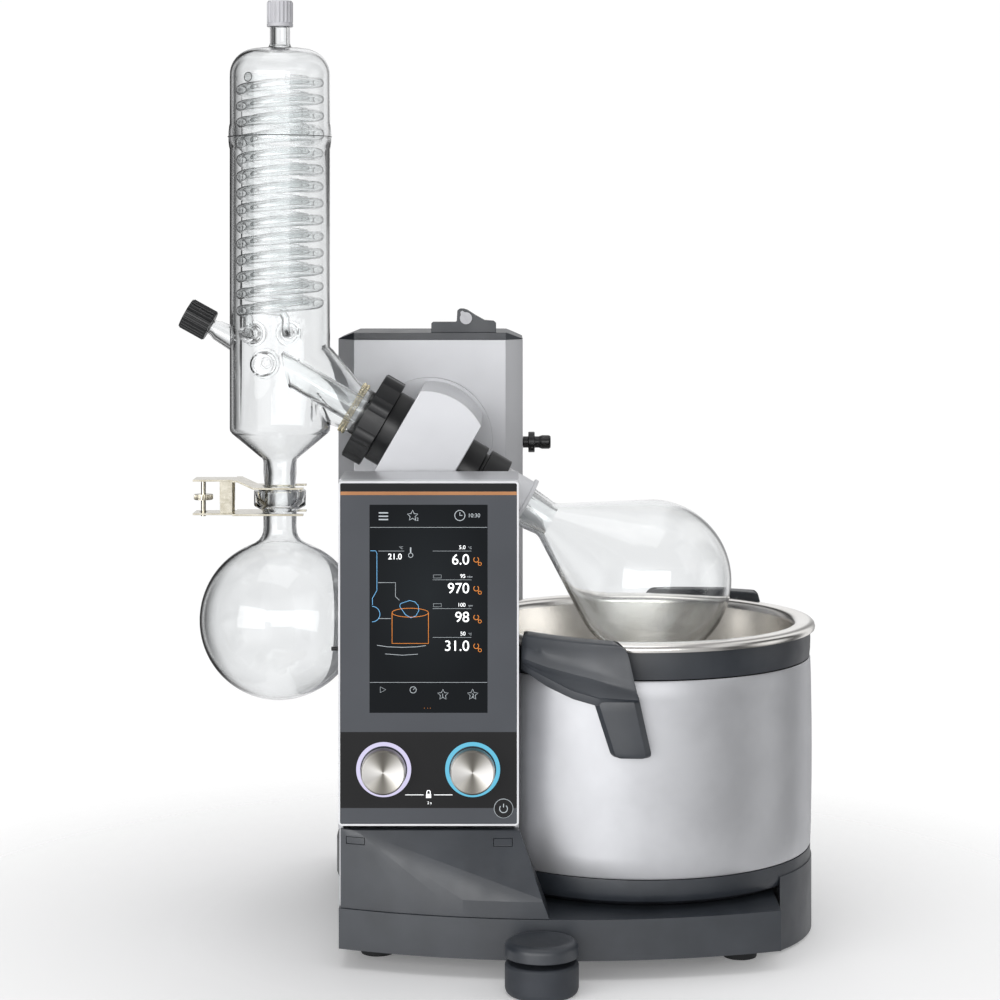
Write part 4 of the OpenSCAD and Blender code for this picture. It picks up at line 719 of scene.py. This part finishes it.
# receiving flask: bulb, neck and ground cup of the ball joint
bulbOut = arc(0, glass["receivingMiddle"], glass["bulb"], -89.95, 68, 70)
bulbOut += [(20.6, 310.5), (17.3, 312.9), (15.1, 315.8), (13.9, 319.2), (13.5, 323.5), (13.5, 336.5), (16.5, 338.6),
            (20.4, 340.6), (21.2, 341.8), (21.2, 353.6)]
bulbIn = arc(0, ballZ, glass["ballRadius"] + 0.1, -1.3, -44, 8)
bulbIn += [(11.3, 337), (11.3, 322.8), (11.8, 318.6), (13.1, 314.8), (15.6, 311.6), (19.2, 308.9)]
bulbIn += arc(0, glass["receivingMiddle"], glass["bulb"] - glass["wall"], 68, -89.95, 70)
bm = lathe(bulbOut + bulbIn, 144)
ground(bm, lambda c: c.z > 340.4)
standIn("receiving_glass", "receiving_flask", placed(bm, condenserPlace), clearGlass, second=groundGlass)

# level mark printed on the condenser
levelMark = {"height": 643.2, "radius": 42.45, "print": 0.7}
front = [(levelMark["radius"] * mm * math.sin(math.radians(a)) + condenserX,
          -levelMark["radius"] * mm * math.cos(math.radians(a)), levelMark["height"] * mm) for a in range(-88, 89, 4)]
keepMesh("level_mark", wireMesh([(front, False)], levelMark["print"] * mm, 1), blackNylon, "head",
         slotName="black_plastic")
print("glassware made")

# bath: steel vessel with a rolled lip, dark band and blasted jacket
bath = {"axis": 115.6, "inner": 127.0, "floor": 98.0, "rim": 250.0, "lip": 145.0, "jacket": 141.4, "jacketLow": 69.3,
        "bandLow": 221.5, "bandHigh": 246.6}
bathPlace = Matrix.Translation((bath["axis"] * mm, 0, 0))
inner, floorZ, rimZ, lipX = bath["inner"], bath["floor"], bath["rim"], bath["lip"]
vessel = [(0, floorZ - 1.5), (inner - 12, floorZ - 1.5), (inner - 1.5, floorZ + 3), (inner + 1.6, floorZ + 14),
          (inner + 1.6, rimZ - 6), (inner + 2.6, rimZ - 3.4), (inner + 5, rimZ - 1.8), (lipX - 3.5, rimZ - 2.4),
          (lipX - 1.8, rimZ - 3.8), (lipX - 1.3, rimZ - 6), (lipX - 0.3, rimZ - 6.6), (lipX, rimZ - 4.8),
          (lipX - 0.6, rimZ - 2.6), (lipX - 2.4, rimZ - 0.8), (lipX - 6, rimZ), (inner + 5, rimZ - 0.1),
          (inner + 2.4, rimZ - 1.2), (inner + 0.6, rimZ - 3.6), (inner, rimZ - 7), (inner, floorZ + 14),
          (inner - 0.8, floorZ + 8.6), (inner - 3.2, floorZ + 4), (inner - 7.4, floorZ + 1), (inner - 12, floorZ),
          (0, floorZ)]
bm = ground(lathe(vessel, 192, False), lambda c: c.z > rimZ - 7 and Vector((c.x, c.y)).length > inner + 0.3)
standIn("bath_vessel_spun", "bath_vessel", placed(bm, bathPlace), polishedSteel, second=brightSteel)
jacketX, bandLow, bandHigh, jacketLow = bath["jacket"], bath["bandLow"], bath["bandHigh"], bath["jacketLow"]
band = [(jacketX - 2.2, bandLow), (jacketX - 1, bandLow + 0.6), (jacketX - 0.4, bandLow + 6.5),
        (jacketX - 0.2, bandLow + 14.5), (jacketX - 0.8, bandHigh - 1), (jacketX - 1.8, bandHigh),
        (jacketX - 5, bandHigh), (jacketX - 5, bandLow)]
standIn("bath_band_moulded", "bath_shell", placed(lathe(band, 192), bathPlace), slatePlastic, slotName="slate_plastic")
jacketSheet = [(jacketX - 2, jacketLow), (jacketX - 2, bandLow - 0.5), (jacketX - 1, bandLow - 0.5),
               (jacketX - 0.3, bandLow - 1.7), (jacketX + 0.2, bandLow - 15.5), (jacketX + 0.8, bandLow - 51.5),
               (jacketX + 0.9, bandLow - 75.5), (jacketX + 0.8, bandLow - 99.5), (jacketX + 0.2, jacketLow + 16.7),
               (jacketX - 0.3, jacketLow + 1.7), (jacketX - 1, jacketLow + 0.3)]
standIn("bath_jacket_rolled", "bath_shell", placed(lathe(jacketSheet, 192), bathPlace), blastedSheet)

# turned steel knobs: brushed side, bright chamfer and a slightly dished face
knob = {"radius": 17.0, "height": 13.0, "chamfer": 1.1, "dish": 0.7, "low": 1.2, "seatY": -140.0}
knobX, knobTop, chamfer = knob["radius"], knob["height"], knob["chamfer"]
knobShape = [(0, knob["low"]), (knobX - 1.6, knob["low"]), (knobX - 1.6, knob["low"] + 0.3),
             (knobX - 0.3, knob["low"] + 0.3), (knobX, knob["low"] + 0.8), (knobX, knobTop - chamfer),
             (knobX - chamfer, knobTop), (knobX - 1.6, knobTop), (knobX - 2.2, knobTop - 0.2),
             (0, knobTop - knob["dish"])]
for side, middle in zip(("knob_left", "knob_right"), knobCentres):
    place = Matrix.Translation((middle.x, knob["seatY"] * mm, middle.z)) @ upright
    bm = placed(lathe(knobShape, 128, False), place)
    for face in bm.faces:
        face.material_index = 1 if 0.3 < abs(face.normal.y) < 0.95 else 0
    standIn(side + "_turned", side, bm, turnedSteelPaintedFan, 25, brightSteel)

# bath handles: a wing with a finger ridge on its face and a tapered leg down to the jacket, in mm from the bath's
# axis; a slant is the change across for each mm of height
handle = {"rimReach": 145.6, "faceReach": 165.0, "backReach": 158.9, "webLow": 246.2, "topLeft": 255.8,
          "topRight": 252.6, "cut": -95.7, "whole": -111.5, "middleEnd": -10.0, "rightEnd": -15.6, "rightLevel": 246.0,
          "rightSlant": 0.2306, "leftCorner": 5.0, "rightCorner": 9.0, "hollow": 3.2, "hollowFade": 0.55,
          "columns": 34}
limb = {"wall": 143.0, "foot": 165.0, "footCorner": 4.0, "left": -27.4, "leftSlant": 0.322, "leftChamfer": 3.6,
        "right": 3.4, "rightSlant": 0.2238, "rightChamfer": 4.4, "front": 157.6, "frontSlant": 0.045,
        "frontCorner": 0.4, "levels": (211.5, 200, 188, 176, 169, 167.2, 166, 165.3, 165)}
ridgeLine = [(-112, 241), (-95.7, 238), (-77, 233), (-43, 226.3), (-21.3, 220.6), (-4, 216)]
lipLine = [(-112, 236), (-95.7, 232.5), (-73, 222.8), (-57.5, 215.6), (-39.5, 211.2), (-4, 210.2)]
lowerLine = [(-112, 231.4), (-95.7, 228.6), (-76.7, 217), (-58, 209), (-39.5, 204.4), (-37.5, 207.8), (-4, 208.4)]


def along(table, x):
    for (x0, z0), (x1, z1) in zip(table, table[1:]):
        if x <= x1:
            return z0 + (z1 - z0) * (x - x0) / (x1 - x0)
    return table[-1][1]


def cornerInset(radius, depth):
    sink = max(radius - depth, 0)
    return radius - math.sqrt(radius * radius - sink * sink)


# A closed skin over equal cross-sections, each a ring of points.
def shaped(sections):
    rows = len(sections[0])
    bm = bmesh.new()
    bmesh.ops.create_grid(bm, x_segments=len(sections) - 1, y_segments=rows, size=0.5)
    for vert in bm.verts:
        column = round((vert.co.x + 0.5) * (len(sections) - 1))
        vert.co = sections[column][round((vert.co.y + 0.5) * rows) % rows]
    bmesh.ops.remove_doubles(bm, verts=bm.verts, dist=1e-6)
    bmesh.ops.holes_fill(bm, edges=bm.edges, sides=0)
    bmesh.ops.recalc_face_normals(bm, faces=bm.faces)
    return bm


def onReach(x, reach, z):
    return Vector((x, -math.sqrt(max(reach * reach - x * x, 0)), z)) * mm


def wing(leftEnd):
    sections = []
    for i in range(handle["columns"] + 1):
        share = i / handle["columns"]
        middle = leftEnd + share * (handle["middleEnd"] - leftEnd)
        top = handle["topLeft"] + share * (handle["topRight"] - handle["topLeft"])
        ridge, lip, low = along(ridgeLine, middle), along(lipLine, middle), along(lowerLine, middle)
        rim, face, back = handle["rimReach"], handle["faceReach"], handle["backReach"]
        hollow = handle["hollow"] * (1 - handle["hollowFade"] * share ** 3)
        profile = [(rim, handle["webLow"]), (rim, top - 0.9), (rim + 0.9, top), (face - 4.6, top),
                   (face - 3.0, top - 0.5), (face - 2.1, top - 1.7), (face - 2.2, top - 3.4), (face - 2.6, top - 7),
                   (face - hollow - 0.2, top - 12), (face - hollow + 0.1, ridge + 9), (face - 0.55 * hollow, ridge + 5),
                   (face - 0.12 * hollow, ridge + 1.6), (face, ridge + 0.4), (face - 0.1 * hollow, ridge - 0.8),
                   (face - 0.5 * hollow, ridge - 3), (face - 1.3 * hollow, lip + 2.2),
                   (face - 1.42 * hollow, lip + 0.4), (face - 1.3 * hollow - 1, lip - 0.4), (back + 1.0, low + 0.3),
                   (back, low), (back - 1.4, low + 0.8), (back - 1.4, lip + 3), (back, ridge + 4),
                   (back, handle["webLow"])]
        section = []
        for reach, z in profile:
            left = leftEnd + cornerInset(handle["leftCorner"], top - z)
            right = handle["rightEnd"] + (handle["rightLevel"] - z) * handle["rightSlant"]
            right -= cornerInset(handle["rightCorner"], top - z)
            section.append(onReach(left + share * (right - left), reach, z))
        sections.append(section)
    return shaped(sections)


def leg():
    sections = []
    for z in limb["levels"]:
        rise = z - limb["foot"]
        inset = cornerInset(limb["footCorner"], rise)
        left = limb["left"] - rise * limb["leftSlant"] + inset
        right = limb["right"] - rise * limb["rightSlant"] - inset
        front = limb["front"] + rise * limb["frontSlant"] - limb["frontCorner"] * inset
        sections.append([onReach(x, reach, z) for x, reach in (
            (left, limb["wall"]), (left, front - 5), (left + limb["leftChamfer"], front),
            ((left + right) / 2, front + 0.1), (right - limb["rightChamfer"], front), (right, front - 4.6),
            (right, limb["wall"]))])
    return shaped(sections)


# the front handle's wing is cut off where the console stands, the rear one's is whole
for name, leftEnd, turn in (("handle_front_moulded", handle["cut"], 0),
                            ("handle_rear_moulded", handle["whole"], math.pi)):
    bm = joinMeshes([meshOf("handleWing", wing(leftEnd)), meshOf("handleLeg", leg())])
    hard = [e for e in bm.edges if len(e.link_faces) == 2 and e.calc_face_angle(0) > math.radians(42)]
    bmesh.ops.bevel(bm, geom=hard, offset=0.6 * mm, offset_type="OFFSET", segments=2, profile=0.5, affect="EDGES",
                    clamp_overlap=True, material=-1)
    placed(bm, bathPlace @ Matrix.Rotation(turn, 4, "Z"))
    standIn(name, "bath_handles", bm, slatePlastic, 28)

# levelling foot's handwheel: a round cap with a soft upper edge
footLow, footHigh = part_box("foot_handwheel")
footRadius = (footHigh.x - footLow.x) / 2 / mm
footPlace = Matrix.Translation(((footLow.x + footHigh.x) / 2, (footLow.y + footHigh.y) / 2, 0))
handwheel = {"low": 27.8, "stem": 4.0, "edge": 0.6, "round": 5.2, "dish": 0.25}
wheelLow, wheelTop, stemLow = handwheel["low"], footHigh.z / mm, footLow.z / mm
wheel = [(0, stemLow), (handwheel["stem"], stemLow), (handwheel["stem"], wheelLow),
         (footRadius - handwheel["edge"], wheelLow), (footRadius, wheelLow + handwheel["edge"])]
wheel += arc(footRadius - handwheel["round"], wheelTop - handwheel["round"], handwheel["round"], 0, 90, 9)
wheel += [(footRadius - 8, wheelTop), (footRadius - 9, wheelTop - handwheel["dish"]),
          (0, wheelTop - handwheel["dish"])]
standIn("handwheel_moulded", "foot_handwheel", placed(lathe(wheel, 128, False), footPlace), slatePlastic, 30)

# hard parts: smooth copies with eased edges, sizes in mm
easedEdges = {
    "console_housing": 1.4, "panel_bezel": 0.7, "tower_shell": 0.8, "tower_cap": 0.9, "stop_block": 1.3,
    "base_platform": 1.4, "bath_base": 1.0, "drive_housing": 1.6, "pivot_disc": 0.8,
    "housing_collars": 0.8, "lock_ring": 0.8, "flask_clamp": 0.6, "tilt_lock_knob": 0.5, "union_nut": 1.4,
    "foot_pad": 0.8, "top_cap": 0.25, "feed_cap": 0.3,
    "clip_upper_jaw": 0.3, "clip_lower_jaw": 0.3, "clip_screw": 0.25, "hose_fittings": 0.5, "port_cover": 0.4,
    "power_button": 0.4, "release_button_left": 0.35, "release_button_right": 0.35, "stop_dial": 0.25,
    "rubber_feet": 0.8, "power_inlet": 0.5, "main_switch": 0.5, "foot_bracket": 0.4, "light_rings": 0.2}
for name, edge in easedEdges.items():
    finishedCopy(name, edge, 3 if edge > 1.2 else 2)
# the sloped cover's flats meet at shallow angles, so its edges are found from 10 degrees up
finishedCopy("wedge_cover", 0.7, 2, 10, 0.02)
print("hard parts eased")

# level camera whose picture is shifted down, as the object was photographed
camera = bpy.data.objects.new("studioCamera", bpy.data.cameras.new("studioCamera"))
scene.collection.objects.link(camera)
cameraSetting = {"place": (0.0034, -2.061, 0.553), "lens": 90.5, "sensor": 36, "shift": -0.253, "farthest": 50}
camera.location = cameraSetting["place"]
camera.rotation_euler = (math.pi / 2, 0, 0)
camera.data.lens = cameraSetting["lens"]
camera.data.sensor_width = cameraSetting["sensor"]
camera.data.shift_y = cameraSetting["shift"]
camera.data.clip_end = cameraSetting["farthest"]
scene.camera = camera

# studio: a round sheet of paper that fades out, so that the floor ends without a line
bm = bmesh.new()
bmesh.ops.create_circle(bm, cap_ends=True, segments=96, radius=4.0)
floorMesh = meshOf("studioFloor", bm)
floor = bpy.data.objects.new("studioFloor", floorMesh)
scene.collection.objects.link(floor)
floorPaper, tree, shader = newMaterial("seamlessPaperWhite", {
    "Roughness": 0.8, "Base Color": linear("#FDFDFD"), "Emission Color": linear("#FFFFFF"), "Emission Strength": 0.14})
coords = addNode(tree, "ShaderNodeTexCoord")
reach = addNode(tree, "ShaderNodeVectorMath", {"operation": "LENGTH"}, {0: coords.outputs["Object"]})
fade = addNode(tree, "ShaderNodeMapRange", {"From Min": 0.2, "From Max": 0.6, "To Min": 1.0, "To Max": 0.0},
               {"Value": reach.outputs["Value"]})
tree.links.new(fade.outputs["Result"], shader.inputs["Alpha"])
floorMesh.materials.append(floorPaper)

studio = bpy.data.worlds.new("softStudio")
scene.world = studio
studio.use_nodes = True
tree = studio.node_tree
background = tree.nodes["Background"]
coords = addNode(tree, "ShaderNodeTexCoord")
split = addNode(tree, "ShaderNodeSeparateXYZ", links={"Vector": coords.outputs["Generated"]})
sideSpan = addNode(tree, "ShaderNodeMapRange", {"From Min": -1.0, "From Max": 1.0}, {"Value": split.outputs["X"]})


# A level of the studio's light, its blue as a share of that level.
def grey(level, blue=1.01):
    return (level, level, level * blue, 1)


# behind, dark panels stand at the sides, which draw the dark outlines of the glass; in front, where the pieces'
# faces mirror it, a bright wall stands on the left and the light falls off to the right
walls = []
for last, levels in (
        (1.25, ((0.075, 0.015), (0.11, 0.08), (0.19, 0.6), (0.25, 0.12), (0.3, 0.03), (0.37, 0.05), (0.42, 0.95),
                (0.5, 1.0), (0.59, 1.0), (0.64, 0.35), (0.71, 0.3), (0.77, 1.0), (0.87, 1.0), (0.91, 0.03),
                (0.965, 0.05))),
        (1.1, ((0.06, 0.02), (0.1, 0.25), (0.15, 1.7), (0.32, 1.9), (0.42, 1.3), (0.5, 0.9), (0.58, 0.75),
               (0.7, 0.6), (0.86, 0.42), (0.91, 0.04), (0.965, 0.05)))):
    ramp = addNode(tree, "ShaderNodeValToRGB", links={"Fac": sideSpan.outputs["Result"]})
    setStops(ramp, [(0.0, grey(0.05, 1.1)), *((place, grey(level)) for place, level in levels), (1.0, grey(last, 1.0))])
    walls.append(ramp.outputs["Color"])
frontSpan = addNode(tree, "ShaderNodeMapRange", {"From Min": 0.05, "From Max": -0.35}, {"Value": split.outputs["Y"]})
allRound = addNode(tree, "ShaderNodeMix", {"data_type": "RGBA"}, {
    0: frontSpan.outputs["Result"], 6: walls[0], 7: walls[1]})
# the studio is darker above and below the camera than beside it
steepness = addNode(tree, "ShaderNodeMath", {"operation": "ABSOLUTE"}, {0: split.outputs["Z"]})
upward = addNode(tree, "ShaderNodeMapRange", {"From Min": 0.3, "From Max": 0.6}, {"Value": steepness.outputs["Value"]})
frontward = addNode(tree, "ShaderNodeMapRange", {"From Min": 0.1, "From Max": -0.5}, {"Value": split.outputs["Y"]})
darkPart = addNode(tree, "ShaderNodeMath", {"operation": "MULTIPLY"}, {
    0: upward.outputs["Result"], 1: frontward.outputs["Result"]})
dimmed = addNode(tree, "ShaderNodeMix", {"data_type": "RGBA", 7: (0.3, 0.3, 0.31, 1)}, {
    0: darkPart.outputs["Value"], 6: allRound.outputs[2]})
path = addNode(tree, "ShaderNodeLightPath")
toCamera = addNode(tree, "ShaderNodeMix", {"data_type": "RGBA", 7: (1.1, 1.1, 1.1, 1)}, {
    0: path.outputs["Is Camera Ray"], 6: dimmed.outputs[2]})
tree.links.new(toCamera.outputs[2], background.inputs["Color"])
background.inputs["Strength"].default_value = 0.92


def softBox(name, place, aim, size, power):
    light = bpy.data.lights.new(name, "AREA")
    light.shape = "RECTANGLE"
    light.size, light.size_y = size
    light.energy = power
    lamp = bpy.data.objects.new(name, light)
    scene.collection.objects.link(lamp)
    lamp.location = place
    lamp.rotation_euler = (Vector(aim) - Vector(place)).to_track_quat("-Z", "Y").to_euler()
    lamp.visible_camera = False


softBox("keyLeft", (-1.6, -1.9, 0.6), (0, 0, 0.3), (1.8, 1.2), 15)
softBox("fillRight", (1.9, -1.1, 1.5), (0, 0, 0.35), (0.9, 1.6), 2)
softBox("fillFront", (0.1, -2.5, 0.8), (0, 0, 0.3), (2.0, 0.7), 12)
softBox("fillTop", (-0.2, -0.5, 2.2), (0, 0, 0.3), (1.6, 1.2), 5)
scene.view_settings.view_transform = "Standard"
scene.view_settings.look = "None"
# light passes up to twenty glass walls behind one another in the condenser
scene.cycles.max_bounces = 28
scene.cycles.transmission_bounces = 28
